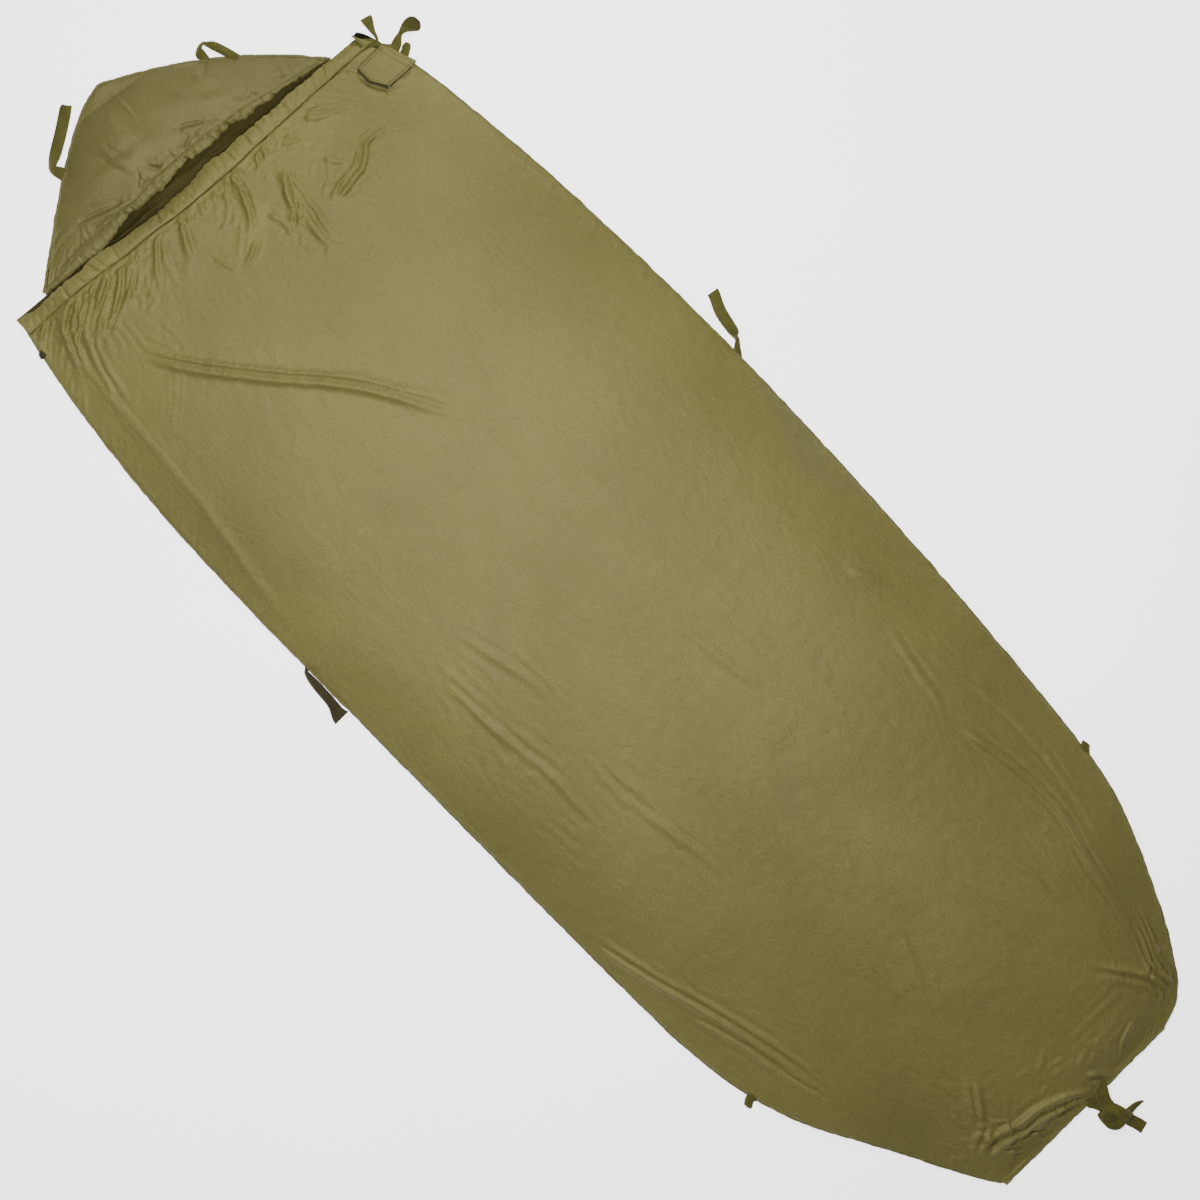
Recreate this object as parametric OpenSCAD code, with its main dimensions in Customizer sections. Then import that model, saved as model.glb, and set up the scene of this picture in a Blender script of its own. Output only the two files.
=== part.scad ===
// Hooded bivy sack, laid flat on the ground and lightly lofted.
// X runs across the sack, +Y towards the hood, Z up from the ground.
// The origin is on the ground, on the centre line, half way from foot seam to hood tip.

/* [Sack] */
// Length from the foot seam to the tip of the hood
overall_l = 2250; // [2000:10:2500]
// Width of the body at its widest
body_w = 834; // [700:2:950]
// Height of the body's inside at its fullest
loft_h = 58; // [50:1:80]
// Height of the inside under the body's hem
mouth_h = 34; // [30:1:40]
// Height of the inside under the hood
hood_h = 20; // [16:1:22]
// Thickness that stands in for one layer of cloth
cloth_t = 2; // [1.6:0.1:2.2]

/* [Hems] */
// Width of the draw tape channel along the body's mouth
hem_w = 26; // [25:1:30]
// Width of the draw tape channel along the hood
hood_hem_w = 16; // [15:1:18]
// Height of both channels
hem_t = 6; // [5.6:0.1:6.5]
// How far the body's hem dips open below the neck line
mouth_dip = 14; // [10:1:30]
// How far the hood's hem stands open above the neck line
hood_rise = 16; // [8:1:20]

/* [Tapes] */
// Thickness of the tapes
tape_t = 1.6; // [1.2:0.1:1.8]
// How far the draw tape's ends stand in the channel before they are pulled
tongue_l = 62; // [60:1:66]

/* [Neck flap] */
// Length of the flap across the front of the sack
flap_l = 70; // [60:1:72]
// Width of the flap along the side
flap_w = 58; // [50:1:60]
// Cut across the flap's lower free corner
flap_cut = 22; // [10:1:26]

/* [Hidden] */

cloth = "#83794e";
cloth_shade = "#756c45";
lining = "#7b7249";
tape = "#5c5a30";
thread = "#4f4b2c";
hook_black = "#3a3822";

// Scale of the outline against the size that its stations are given for
kx = body_w / 834;
ky = overall_l / 2250;
foot_y = -overall_l / 2;
tip_y = overall_l / 2;

// Half-widths of the body, [distance from the foot seam, half-width], left and right
SIDE_L = [
    [0, 203], [50, 234], [150, 286], [300, 366], [420, 401], [560, 415],
    [1200, 417], [1600, 414], [1830, 397], [1980, 374], [2080, 352]
];
SIDE_R = [
    [0, 150], [12, 184], [50, 224], [150, 283], [310, 350], [420, 371],
    [800, 402], [1230, 417], [1600, 408], [1830, 388], [1940, 371], [2025, 345]
];
// Height of the inside along the body, [share of the body's length, share of loft_h]
LOFT = [[0, 0], [0.026, 0.34], [0.15, 0.72], [0.45, 1], [0.8, 0.86], [1, mouth_h / loft_h]];
// Height of the inside along the hood, [share of the hood's length, share of hood_h]
HOOD_LOFT = [[0, 1], [0.35, 1.1], [0.6, 0.66], [0.76, 0], [1, 0]];

// The neck line, where the hood folds: its height on the centre line and its slope
neck_mid = 921 * ky;
neck_slope = 0.086;
neck_gap = 0.4;
neck_l_x = -353 * kx;
neck_r_x = 346 * kx;

// Edges of the hood as cubic curves from the neck to the tip
HOOD_L = [[-298 * kx, 952 * ky], [-180 * kx, 1036 * ky], [-70 * kx, tip_y], [-3 * kx, tip_y]];
HOOD_R = [[286 * kx, 897 * ky], [190 * kx, 1018 * ky], [72 * kx, 1088 * ky], [-3 * kx, tip_y]];
hood_start = 0.03;
hood_end = 0.97;

seam_w = 8;
seam_t = 1.4;
foot_share = 0.026;
foot_flat = 0.0045;
hem_flat = 80;
rim_flat = 10;
hood_flat = 18;
arch_n = 12;
arch_p = 2.6;
clear = 0.4;
dip_x = -60;
dip_w = 120;
hem_lip = 3;

// ---- Curves -------------------------------------------------------------------------

function segment(table, x, i = 0) =
    (i >= len(table) - 2 || x < table[i + 1][0]) ? i : segment(table, x, i + 1);

function slope(table, i) =
    let (a = table[max(i - 1, 0)], b = table[min(i + 1, len(table) - 1)])
    (b[1] - a[1]) / (b[0] - a[0]);

// A smooth curve through the stations of a table, level beyond both ends
function smooth(table, x) =
    let (
        last = table[len(table) - 1][0],
        xc = min(max(x, table[0][0]), last),
        i = segment(table, xc),
        a = table[i],
        b = table[i + 1],
        h = b[0] - a[0],
        s = (xc - a[0]) / h
    )
    a[1] * (1 + 2 * s) * pow(1 - s, 2) + slope(table, i) * h * s * pow(1 - s, 2)
        + b[1] * s * s * (3 - 2 * s) + slope(table, i + 1) * h * s * s * (s - 1);

function bezier(c, t) =
    pow(1 - t, 3) * c[0] + 3 * t * pow(1 - t, 2) * c[1]
        + 3 * t * t * (1 - t) * c[2] + pow(t, 3) * c[3];

function mix(a, b, s) = a * (1 - s) + b * s;

function half_l(y) = kx * smooth(SIDE_L, (y - foot_y) / ky);
function half_r(y) = kx * smooth(SIDE_R, (y - foot_y) / ky);

function neck_y(x) = neck_mid - neck_slope * x;
function body_edge_y(x) =
    neck_y(x) - hem_lip - mouth_dip * exp(-pow((x / kx - dip_x) / dip_w, 2));
function body_stitch_y(x) = body_edge_y(x) - hem_w;
function hood_edge_y(x) = neck_y(x) + hem_lip + hood_rise * exp(-pow(x / (110 * kx), 2));

// Height of an arch that stands between two flat margins, 0 at both ends and 1 at its middle
function arch(x, left, right) =
    let (q = min(1, abs(2 * x - left - right) / (right - left)))
    1 - pow(q, arch_p);

// ---- Sheets -------------------------------------------------------------------------

// A closed sheet between two grids of points that share their plan, lower and upper
module sheet_between(lower, upper) {
    rows = len(lower);
    cols = len(lower[0]);
    n = rows * cols;
    function at(r, c) = r * cols + c;
    points = concat([for (row = lower) for (p = row) p], [for (row = upper) for (p = row) p]);
    top = [for (r = [0:rows - 2]) for (c = [0:cols - 2]) for (k = [0, 1])
        k == 0 ? [at(r, c) + n, at(r + 1, c) + n, at(r + 1, c + 1) + n]
               : [at(r, c) + n, at(r + 1, c + 1) + n, at(r, c + 1) + n]];
    bottom = [for (r = [0:rows - 2]) for (c = [0:cols - 2]) for (k = [0, 1])
        k == 0 ? [at(r, c), at(r + 1, c + 1), at(r + 1, c)]
               : [at(r, c), at(r, c + 1), at(r + 1, c + 1)]];
    near = [for (c = [0:cols - 2]) for (k = [0, 1])
        k == 0 ? [at(0, c), at(0, c) + n, at(0, c + 1) + n]
               : [at(0, c), at(0, c + 1) + n, at(0, c + 1)]];
    far = [for (c = [0:cols - 2]) for (k = [0, 1])
        k == 0 ? [at(rows - 1, c), at(rows - 1, c + 1) + n, at(rows - 1, c) + n]
               : [at(rows - 1, c), at(rows - 1, c + 1), at(rows - 1, c + 1) + n]];
    left = [for (r = [0:rows - 2]) for (k = [0, 1])
        k == 0 ? [at(r, 0), at(r + 1, 0) + n, at(r, 0) + n]
               : [at(r, 0), at(r + 1, 0), at(r + 1, 0) + n]];
    right = [for (r = [0:rows - 2]) for (k = [0, 1])
        k == 0 ? [at(r, cols - 1), at(r, cols - 1) + n, at(r + 1, cols - 1) + n]
               : [at(r, cols - 1), at(r + 1, cols - 1) + n, at(r + 1, cols - 1)]];
    polyhedron(points, concat(top, bottom, near, far, left, right), convexity = 6);
}

function lift(row, dz) = [for (p = row) [p[0], p[1], p[2] + dz]];

// Places across a row: both rims, and the arch between the margins
function across(left, right, flat_l, flat_r) = concat(
    [left],
    [for (k = [0:arch_n]) mix(left + flat_l, right - flat_r, (1 - cos(180 * k / arch_n)) / 2)],
    [right]
);

// ---- Body ---------------------------------------------------------------------------

body_l = body_stitch_y(0) - foot_y;

function body_skew(w) = pow(w, 4);
function body_point_y(x, w) =
    foot_y + w * body_l + body_skew(w) * (body_stitch_y(x) - body_stitch_y(0));
function body_flat(w) = mix(rim_flat, hem_flat, pow(w, 6));

// The under side of the body's upper cloth, at a share w of the way from foot to hem
function body_row(w) =
    let (
        left = -half_l(body_point_y(neck_l_x, w)),
        right = half_r(body_point_y(neck_r_x, w)),
        flat = body_flat(w)
    )
    [for (x = across(left, right, flat, flat))
        [x, body_point_y(x, w),
         cloth_t + loft_h * smooth(LOFT, w - foot_flat) * arch(x, left + flat, right - flat)]];

module body_sheet(shares) {
    rows = [for (w = shares) body_row(w)];
    sheet_between(rows, [for (row = rows) lift(row, cloth_t)]);
}

// Points along one side, closer together at the foot's corners
side_n = 32;
function side_line(y0, y1, left) = [for (i = [0:side_n])
    let (y = mix(y0, y1, pow(i / side_n, 1.7)))
    [left ? -half_l(y) : half_r(y), y]];

module back_panel() {
    left = side_line(foot_y, neck_y(neck_l_x), true);
    right = side_line(foot_y, neck_y(neck_r_x), false);
    color(cloth_shade) linear_extrude(cloth_t)
        polygon(concat(left, [for (i = [side_n:-1:0]) right[i]]));
}

module body_top_panel() {
    shares = concat([foot_share], [for (k = [1:20]) mix(foot_share, 1, k / 20)]);
    color(cloth) body_sheet(shares);
}

module foot_end_panel() {
    color(cloth_shade) body_sheet([0, foot_flat, 0.014, foot_share]);
}

// A strip of seam cloth that lies along a side, on the rim of the upper cloth
module side_seam(left) {
    s = left ? -1 : 1;
    top_y = body_stitch_y(left ? neck_l_x : neck_r_x) - (left ? 1 : 100);
    outer = side_line(foot_y + 20, top_y, left);
    inner = [for (p = outer) [p[0] - s * seam_w, p[1]]];
    translate([0, 0, 2 * cloth_t]) linear_extrude(seam_t)
        polygon(concat(outer, [for (i = [side_n:-1:0]) inner[i]]));
}

module side_seam_left() {
    color(cloth_shade) side_seam(true);
}

module side_seam_right() {
    color(cloth_shade) side_seam(false);
}

module foot_seam() {
    color(cloth_shade) translate([-185 * kx, foot_y + 1, 2 * cloth_t])
        cube([330 * kx, 6, seam_t]);
}

// ---- Hems and the draw tape ---------------------------------------------------------

// The band between two lines across the sack, riding on a row's arch
function band(xs, zs, ya, yb, dz) =
    [[for (i = [0:len(xs) - 1]) [xs[i], ya[i], zs[i] + dz]],
     [for (i = [0:len(xs) - 1]) [xs[i], yb[i], zs[i] + dz]]];

hem_row = body_row(1);
hem_x = [for (p = hem_row) p[0]];
hem_z = [for (p = hem_row) p[2]];

// The end pieces stop short of or run past the hem's ends by a length
function run_x(xs, l, r) = [for (i = [0:len(xs) - 1])
    i == 0 ? xs[0] + l : i == len(xs) - 1 ? xs[i] + r : xs[i]];

module body_band(xs, z0, z1, inset_a, inset_b) {
    ya = [for (x = xs) body_stitch_y(x) + inset_a];
    yb = [for (x = xs) body_edge_y(x) - inset_b];
    sheet_between(band(xs, hem_z, ya, yb, z0), band(xs, hem_z, ya, yb, z1));
}

module body_hem_casing() {
    color(cloth) difference() {
        body_band(hem_x, 0, hem_t, 0, 0);
        body_band(run_x(hem_x, -5, 5), 1.6, hem_t - 1.6, 2, 2);
    }
}

module body_hem_stitching() {
    xs = run_x(hem_x, 6, -6);
    ya = [for (x = xs) body_stitch_y(x) + 1];
    yb = [for (x = xs) body_stitch_y(x) + 2.2];
    color(thread) sheet_between(band(xs, hem_z, ya, yb, hem_t), band(xs, hem_z, ya, yb, hem_t + 0.6));
}

// The body's run of the draw tape, up to where its pulled end begins
module body_draw_tape() {
    last = len(hem_x) - 2;
    xs = [for (i = [0:last]) i == 0 ? hem_x[0] + 6 : i == last ? hem_x[i] - 2 : hem_x[i]];
    ya = [for (x = xs) body_stitch_y(x) + 3];
    yb = [for (x = xs) body_edge_y(x) - 3];
    color(tape) sheet_between(band(xs, hem_z, ya, yb, 2.2), band(xs, hem_z, ya, yb, 3.8));
}

// ---- Hood ---------------------------------------------------------------------------

function hood_row(w) =
    let (
        t = mix(hood_start, hood_end, w),
        a = bezier(HOOD_L, t),
        b = bezier(HOOD_R, t),
        half = (b[0] - a[0]) / 2,
        flat = min(hood_flat + 14 * pow(1 - w, 6), 0.45 * half),
        bow = hood_edge_y(0) + hood_hem_w - (a[1] + b[1]) / 2
    )
    [for (x = across(a[0], b[0], flat, flat))
        let (s = (x - a[0]) / (b[0] - a[0]))
        [x, mix(a[1], b[1], s) + (w > 0.99 ? 0 : bow * pow(1 - w, 6) * (1 - pow(2 * s - 1, 2))),
         cloth_t + hood_h * max(0, smooth(HOOD_LOFT, w)) * arch(x, a[0] + flat, b[0] - flat)]];

module hood_back_panel() {
    gap = neck_gap / 2;
    left = [for (i = [0:14]) bezier(HOOD_L, mix(0, hood_end, i / 14))];
    right = [for (i = [14:-1:0]) bezier(HOOD_R, mix(0, hood_end, i / 14))];
    base = [[right[14][0] + 2, neck_y(right[14][0] + 2) + gap + 0.2],
            [left[0][0] - 2, neck_y(left[0][0] - 2) + gap + 0.2]];
    color(cloth_shade) linear_extrude(cloth_t) polygon(concat(left, right, base));
}

module hood_top_panel() {
    rows = [for (k = [0:9]) hood_row(k / 9)];
    color(cloth) sheet_between(rows, [for (row = rows) lift(row, cloth_t)]);
}

// A strip of seam cloth along both edges of the hood and round its tip
module hood_edge_seam() {
    ts = [for (i = [0:14]) mix(0.08, hood_end, i / 14)];
    outer_l = [for (t = ts) bezier(HOOD_L, t)];
    outer_r = [for (t = ts) bezier(HOOD_R, t)];
    centre = [0, 930 * ky];
    function inward(p) = p + (seam_w - 2) * (centre - p) / norm(centre - p);
    outer = concat(outer_l, [for (i = [14:-1:0]) outer_r[i]]);
    inner = [for (i = [len(outer) - 1:-1:0]) inward(outer[i])];
    color(cloth_shade) translate([0, 0, 2 * cloth_t]) linear_extrude(seam_t)
        polygon(concat(outer, inner));
}

hood_first = hood_row(0);
hood_x = [for (p = hood_first) p[0]];
hood_z = [for (p = hood_first) p[2]];
hood_stitch = [for (p = hood_first) p[1]];

module hood_band(i0, i1, z0, z1, inset_a, inset_b, ends) {
    xs = [for (i = [i0:i1]) i == i0 ? hood_x[i] - ends : i == i1 ? hood_x[i] + ends : hood_x[i]];
    zs = [for (i = [i0:i1]) hood_z[i]];
    ya = [for (i = [i0:i1]) hood_edge_y(hood_x[i]) + inset_a];
    yb = [for (i = [i0:i1]) hood_stitch[i] - inset_b];
    sheet_between(band(xs, zs, ya, yb, z0), band(xs, zs, ya, yb, z1));
}

module hood_hem_casing() {
    last = len(hood_x) - 1;
    color(cloth) difference() {
        hood_band(0, last, 0, hem_t, 0, 0, 0);
        hood_band(2, last - 2, 1.6, hem_t - 1.6, 2, 2, 2);
    }
}

module hood_hem_stitching() {
    xs = [for (i = [1:len(hood_x) - 2]) hood_x[i]];
    zs = [for (i = [1:len(hood_x) - 2]) hood_z[i]];
    yb = [for (i = [1:len(hood_x) - 2]) hood_stitch[i] - 1];
    ya = [for (y = yb) y - 1.2];
    color(thread) sheet_between(band(xs, zs, ya, yb, hem_t), band(xs, zs, ya, yb, hem_t + 0.6));
}

module hood_draw_tape() {
    color(tape) hood_band(2, len(hood_x) - 3, 2.2, 3.8, 2.6, 2.6, -1);
}

// ---- Neck flap ----------------------------------------------------------------------

// The flap's root runs along the side edge, from its lower end at the flap's own origin
flap_y = 797 * ky;
flap_x = half_r(flap_y) + 2;
flap_lean = (half_r(flap_y) - half_r(flap_y + flap_w)) / flap_w;
flap_z = 2 * cloth_t + 3.6;
flap_t = 2.2;
patch_size = [34, 30];
patch_at = [-flap_l + 9, 21];

module flap_plan(inset) {
    offset(delta = -inset) polygon([
        [-clear, 0], [-clear - flap_lean * flap_w, flap_w],
        [-flap_l + 4, flap_w], [-flap_l, flap_w - 4],
        [-flap_l, flap_cut + 8], [-flap_l + 0.7 * flap_cut, 3]
    ]);
}

module at_flap(z) {
    translate([flap_x, flap_y, z]) children();
}

module patch(z, t) {
    at_flap(z) translate(patch_at) cube([patch_size[0], patch_size[1], t]);
}

module flap_loop_patch() {
    color(hook_black) patch(2 * cloth_t, 1.4);
}

module flap_hook_patch() {
    color(hook_black) patch(flap_z - 1.6, 1.6);
}

// The sewn end of the flap, where it wraps round the side from the back
module neck_flap_anchor() {
    reach = 26;
    color(cloth_shade) at_flap(0) linear_extrude(flap_z + flap_t - clear) polygon([
        [clear - flap_lean * 2, 2], [4, 2], [4 - flap_lean * reach, reach],
        [clear - flap_lean * reach, reach]
    ]);
}

module neck_flap_lining() {
    color(lining) at_flap(flap_z) linear_extrude(1) flap_plan(1);
}

module neck_flap_outer() {
    color(cloth) at_flap(flap_z + 1) linear_extrude(flap_t - 1) flap_plan(0);
}

module neck_flap_stitching() {
    color(thread) at_flap(flap_z + flap_t) linear_extrude(0.5) difference() {
        flap_plan(4);
        flap_plan(5.2);
    }
}

// Short folded tabs of tape that are sewn into the side seams near the hem
module corner_tab(x, y, points) {
    translate([x, y, 0]) flat_tape(points, 2);
}

module corner_tab_right() {
    y = flap_y;
    color(tape) corner_tab(half_r(y) + 6.8, y,
        [[-0.6, 2], [0.8, 2], [1, 13], [14, 16], [15, 21], [8, 23], [-4.2, 17]]);
}

module corner_tab_left() {
    y = 882 * ky;
    color(hook_black) corner_tab(-half_l(y) - clear, y, [[-1.4, -9], [-5, -8], [-6, 5], [0.6, 7]]);
}

// ---- Ends of the draw tape ----------------------------------------------------------

// Both ends come out of the body hem's right end; +X runs along the channel, from its mouth
tail_x = hem_x[len(hem_x) - 1];
tail_y = body_stitch_y(tail_x) + hem_w / 2;
channel_turn = -atan(neck_slope);
tongue_w = 9;
tongue_z = cloth_t + 2.2;
tail_gap = 4;

module at_channel(x, y, z) {
    translate([tail_x, tail_y, z]) rotate([0, 0, channel_turn]) translate([x, y, 0])
        children();
}

// The straight stretch of an end in the channel, and the turn down to the ground outside
module tail_root(y, z) {
    at_channel(-tongue_l, y, tongue_z) cube([tongue_l + 2 * tail_gap, tongue_w, tape_t]);
    at_channel(tail_gap, y, z) cube([tail_gap, tongue_w, tongue_z + tape_t - z]);
}

module draw_tail_upper() {
    color(tape) {
        tail_root(0.5, 0);
        at_channel(tail_gap, 0.5, 0) linear_extrude(2 * tape_t)
            polygon([[0, 0], [4, 0], [22, 19], [22, 24], [14, 23], [11, 28], [5, 29], [2, 22], [0, 9]]);
    }
}

module draw_tail_lower() {
    color(tape) {
        tail_root(-tongue_w - 0.5, 0);
        at_channel(tail_gap, 0, 0) linear_extrude(2 * tape_t)
            polygon([
                [0, -1], [4, -1], [10, -23], [37, -23], [55, -17], [70, -26], [60, -47],
                [36, -37], [30, -43], [17, -43], [9, -32], [1, -12]
            ]);
    }
}

// ---- Tie tapes ----------------------------------------------------------------------

// A flat run of tape along a line of points, each run ending at the outline given
module flat_tape(points, layers = 1) {
    color(tape) linear_extrude(tape_t * layers) polygon(points);
}

tie_hood_l = bezier(HOOD_L, 0.46);
tie_hood_r = bezier(HOOD_R, 0.45);
tie_side_l_y = 190 * ky;
tie_side_r_y = 100 * ky;
tie_lower_l_y = -752 * ky;
tie_lower_r_y = -722 * ky;

module tie_hood_left() {
    translate([tie_hood_l[0], tie_hood_l[1], 0]) {
        flat_tape([[-13, -7], [-8, 22], [69, 80], [86, 63], [20, 17], [11, 9]]);
        translate([0, 0, tape_t]) flat_tape([[-8, 16], [0, 26], [14, 18], [8, 9]]);
    }
}

module tie_hood_right() {
    translate([tie_hood_r[0], tie_hood_r[1], 0])
        flat_tape([[-13, 14], [-8, 21], [8, 25], [18, 23], [48, -35], [38, -25], [9, 14], [2, 1]], 2);
}

module tie_side_left() {
    translate([-half_l(tie_side_l_y), tie_side_l_y, 0])
        flat_tape([[-clear, -52], [-30, -52], [-19, -24], [-15, 42], [-6, 55], [-clear, 55]], 2);
}

module tie_side_right() {
    translate([half_r(tie_side_r_y), tie_side_r_y, 0])
        flat_tape([[clear, -6], [clear, 26], [17, 42], [29, 109], [53, 112], [35, 42], [22, 20], [10, 0]]);
}

module tie_lower_left() {
    translate([-half_l(tie_lower_l_y), tie_lower_l_y, 0])
        flat_tape([[-7, 20], [-22, 12], [-20, 4], [4, -16]], 2);
}

module tie_lower_right() {
    translate([half_r(tie_lower_r_y), tie_lower_r_y, 0])
        flat_tape([[-2, -14], [11, 8], [12, 14], [4, 18]], 2);
}

foot_tie_x = 0;
knot_y = foot_y - 46;

module tie_foot_legs() {
    translate([foot_tie_x, foot_y, 0]) {
        flat_tape([[-30, -clear], [28, -clear], [12, -22], [4, -28], [-22, -28]], 2);
    }
}

module tie_foot_knot() {
    color(tape) translate([foot_tie_x - 9, knot_y, 0]) linear_extrude(11)
        polygon([[-22, 8], [-14, 18], [16, 18], [18, -12], [12, -20], [-16, -20], [-22, -10]]);
}

module tie_foot_ends() {
    translate([foot_tie_x, knot_y, 0]) {
        flat_tape([[9, -4], [30, -4], [54, -12], [40, -18], [9, -12]], 1);
        flat_tape([[-16, -20], [3, -20], [5, -24], [26, -44], [6, -48], [-12, -26]], 1);
    }
}

// Bar tacks that hold each tie's root, on the seam beside it
module bartack(x, y, turn) {
    translate([x, y, 2 * cloth_t + seam_t]) rotate([0, 0, turn])
        translate([-1.5, -7, 0]) cube([3, 14, 0.6]);
}

module sack_tie_bartacks() {
    color(thread) {
        bartack(-half_l(tie_side_l_y) + 4, tie_side_l_y, 0);
        bartack(half_r(tie_side_r_y) - 4, tie_side_r_y, 0);
        bartack(-half_l(tie_lower_l_y) + 4, tie_lower_l_y, 14);
        bartack(half_r(tie_lower_r_y) - 4, tie_lower_r_y, -8);
        bartack(foot_tie_x, foot_y + 4, 90);
    }
}

module hood_tie_bartacks() {
    color(thread) {
        bartack(tie_hood_l[0] + 1.5, tie_hood_l[1] - 2.8, -57);
        bartack(tie_hood_r[0] - 2, tie_hood_r[1] - 2.4, 45);
    }
}

back_panel();
body_top_panel();
foot_end_panel();
side_seam_left();
side_seam_right();
foot_seam();
body_hem_casing();
body_hem_stitching();
body_draw_tape();
flap_loop_patch();
neck_flap_anchor();
sack_tie_bartacks();
hood_back_panel();
hood_top_panel();
hood_edge_seam();
hood_hem_casing();
hood_hem_stitching();
hood_draw_tape();
hood_tie_bartacks();
corner_tab_left();
corner_tab_right();
neck_flap_lining();
neck_flap_outer();
neck_flap_stitching();
flap_hook_patch();
draw_tail_upper();
draw_tail_lower();
tie_hood_left();
tie_hood_right();
tie_side_left();
tie_side_right();
tie_lower_left();
tie_lower_right();
tie_foot_legs();
tie_foot_knot();
tie_foot_ends();
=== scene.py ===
import math

import bpy
import numpy as np
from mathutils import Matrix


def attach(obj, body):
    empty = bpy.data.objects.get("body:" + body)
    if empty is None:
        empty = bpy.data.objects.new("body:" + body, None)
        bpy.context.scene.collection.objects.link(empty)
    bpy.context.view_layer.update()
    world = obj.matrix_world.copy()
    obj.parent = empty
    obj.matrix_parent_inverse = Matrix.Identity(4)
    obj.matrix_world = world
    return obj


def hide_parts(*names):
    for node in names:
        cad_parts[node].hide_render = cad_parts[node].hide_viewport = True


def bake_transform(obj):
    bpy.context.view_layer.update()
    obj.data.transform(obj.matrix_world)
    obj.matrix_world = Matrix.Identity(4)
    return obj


# A hooded bivy sack, laid flat and lightly lofted. Lengths here are in millimetres, and the
# mesh builder turns them into metres. X runs across the sack, +Y towards the hood, Z up.

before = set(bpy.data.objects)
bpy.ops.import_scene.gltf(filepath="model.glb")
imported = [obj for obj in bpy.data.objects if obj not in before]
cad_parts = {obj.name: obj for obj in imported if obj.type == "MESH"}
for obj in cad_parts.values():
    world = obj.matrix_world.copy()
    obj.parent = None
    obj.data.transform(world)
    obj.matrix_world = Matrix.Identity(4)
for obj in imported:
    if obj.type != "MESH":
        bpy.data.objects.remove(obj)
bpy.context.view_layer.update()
MM = 0.001

# ---- Camera and light ---------------------------------------------------------------

VIEW_WIDTH = 1.900
VIEW_TURN = math.radians(-44.6)
VIEW_CENTRE = (-0.0115, -0.0140)
VIEW_DISTANCE = 6.5
SENSOR = 36.0


def make_camera():
    data = bpy.data.cameras.new("camera")
    data.sensor_width = SENSOR
    data.lens = SENSOR * (VIEW_DISTANCE - 0.012) / VIEW_WIDTH
    data.clip_end = 60
    cam = bpy.data.objects.new("camera", data)
    bpy.context.scene.collection.objects.link(cam)
    cam.location = (*VIEW_CENTRE, VIEW_DISTANCE)
    cam.rotation_euler = (0, 0, VIEW_TURN)
    bpy.context.scene.camera = cam


def area_light(name, place, target, size, power, colour=(1, 1, 1)):
    data = bpy.data.lights.new(name, "AREA")
    data.shape = "SQUARE"
    data.size = size
    data.energy = power
    data.color = colour
    lamp = bpy.data.objects.new(name, data)
    bpy.context.scene.collection.objects.link(lamp)
    lamp.location = place
    aim = np.array(target, float) - np.array(place, float)
    lamp.rotation_euler = (
        math.atan2(math.hypot(aim[0], aim[1]), -aim[2]),
        0,
        math.atan2(-aim[0], aim[1]) if math.hypot(aim[0], aim[1]) > 1e-6 else 0,
    )
    return lamp


make_camera()
area_light("key", (1.75, 1.75, 1.5), (0.0, 0.15, 0.0), 0.6, 44, (1.0, 0.98, 0.94))
area_light("overhead", (0.02, 0.40, 2.4), (0.0, 0.38, 0.0), 0.55, 84)
area_light("fill", (-1.9, 0.5, 2.5), (-0.15, 0.3, 0.0), 1.6, 19, (0.96, 0.98, 1.0))

world = bpy.data.worlds.new("world")
bpy.context.scene.world = world
world.use_nodes = True
world.node_tree.nodes["Background"].inputs["Color"].default_value = (1, 1, 1, 1)
world.node_tree.nodes["Background"].inputs["Strength"].default_value = 0.5

# ---- Sizes and curves, as in the part's source --------------------------------------

FOOT_Y, TIP_Y = -1125.0, 1125.0
CLOTH_T = 2.0
LOFT_H, MOUTH_H, HOOD_H = 58.0, 34.0, 20.0
HEM_W, TAPE_W = 26.0, 20.0
NECK_MID, NECK_SLOPE = 921.0, 0.086
NECK_L, NECK_R = -353.0, 346.0

SIDE_L = [(0, 203), (50, 234), (150, 286), (300, 366), (420, 401), (560, 415),
          (1200, 417), (1600, 414), (1830, 397), (1980, 374), (2080, 352)]
SIDE_R = [(0, 150), (12, 184), (50, 224), (150, 283), (310, 350), (420, 371),
          (800, 402), (1230, 417), (1600, 408), (1830, 388), (1940, 371), (2025, 345)]
LOFT = [(0, 0), (0.026, 0.34), (0.15, 0.72), (0.45, 1), (0.8, 0.86), (1, MOUTH_H / LOFT_H)]
HOOD_LOFT = [(0, 1), (0.35, 1.1), (0.6, 0.66), (0.76, 0), (1, 0)]
HOOD_L = np.array([(-298, 952), (-180, 1036), (-70, TIP_Y), (-3, TIP_Y)], float)
HOOD_R = np.array([(286, 897), (190, 1018), (72, 1088), (-3, TIP_Y)], float)


def smooth(table, x):
    """A smooth curve through the stations of a table, level beyond both ends."""
    xs, ys = np.array(table, float).T
    n = len(xs)
    low, high = np.maximum(np.arange(n) - 1, 0), np.minimum(np.arange(n) + 1, n - 1)
    m = (ys[high] - ys[low]) / (xs[high] - xs[low])
    x = np.clip(np.asarray(x, float), xs[0], xs[-1])
    i = np.clip(np.searchsorted(xs, x, side="right") - 1, 0, n - 2)
    h = xs[i + 1] - xs[i]
    s = (x - xs[i]) / h
    return (
        ys[i] * (1 + 2 * s) * (1 - s) ** 2 + m[i] * h * s * (1 - s) ** 2
        + ys[i + 1] * s * s * (3 - 2 * s) + m[i + 1] * h * s * s * (s - 1)
    )


def bezier(c, t):
    t = np.asarray(t, float)[..., None]
    return (
        (1 - t) ** 3 * c[0] + 3 * t * (1 - t) ** 2 * c[1]
        + 3 * t * t * (1 - t) * c[2] + t**3 * c[3]
    )


def mix(a, b, s):
    return a * (1 - s) + b * s


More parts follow.
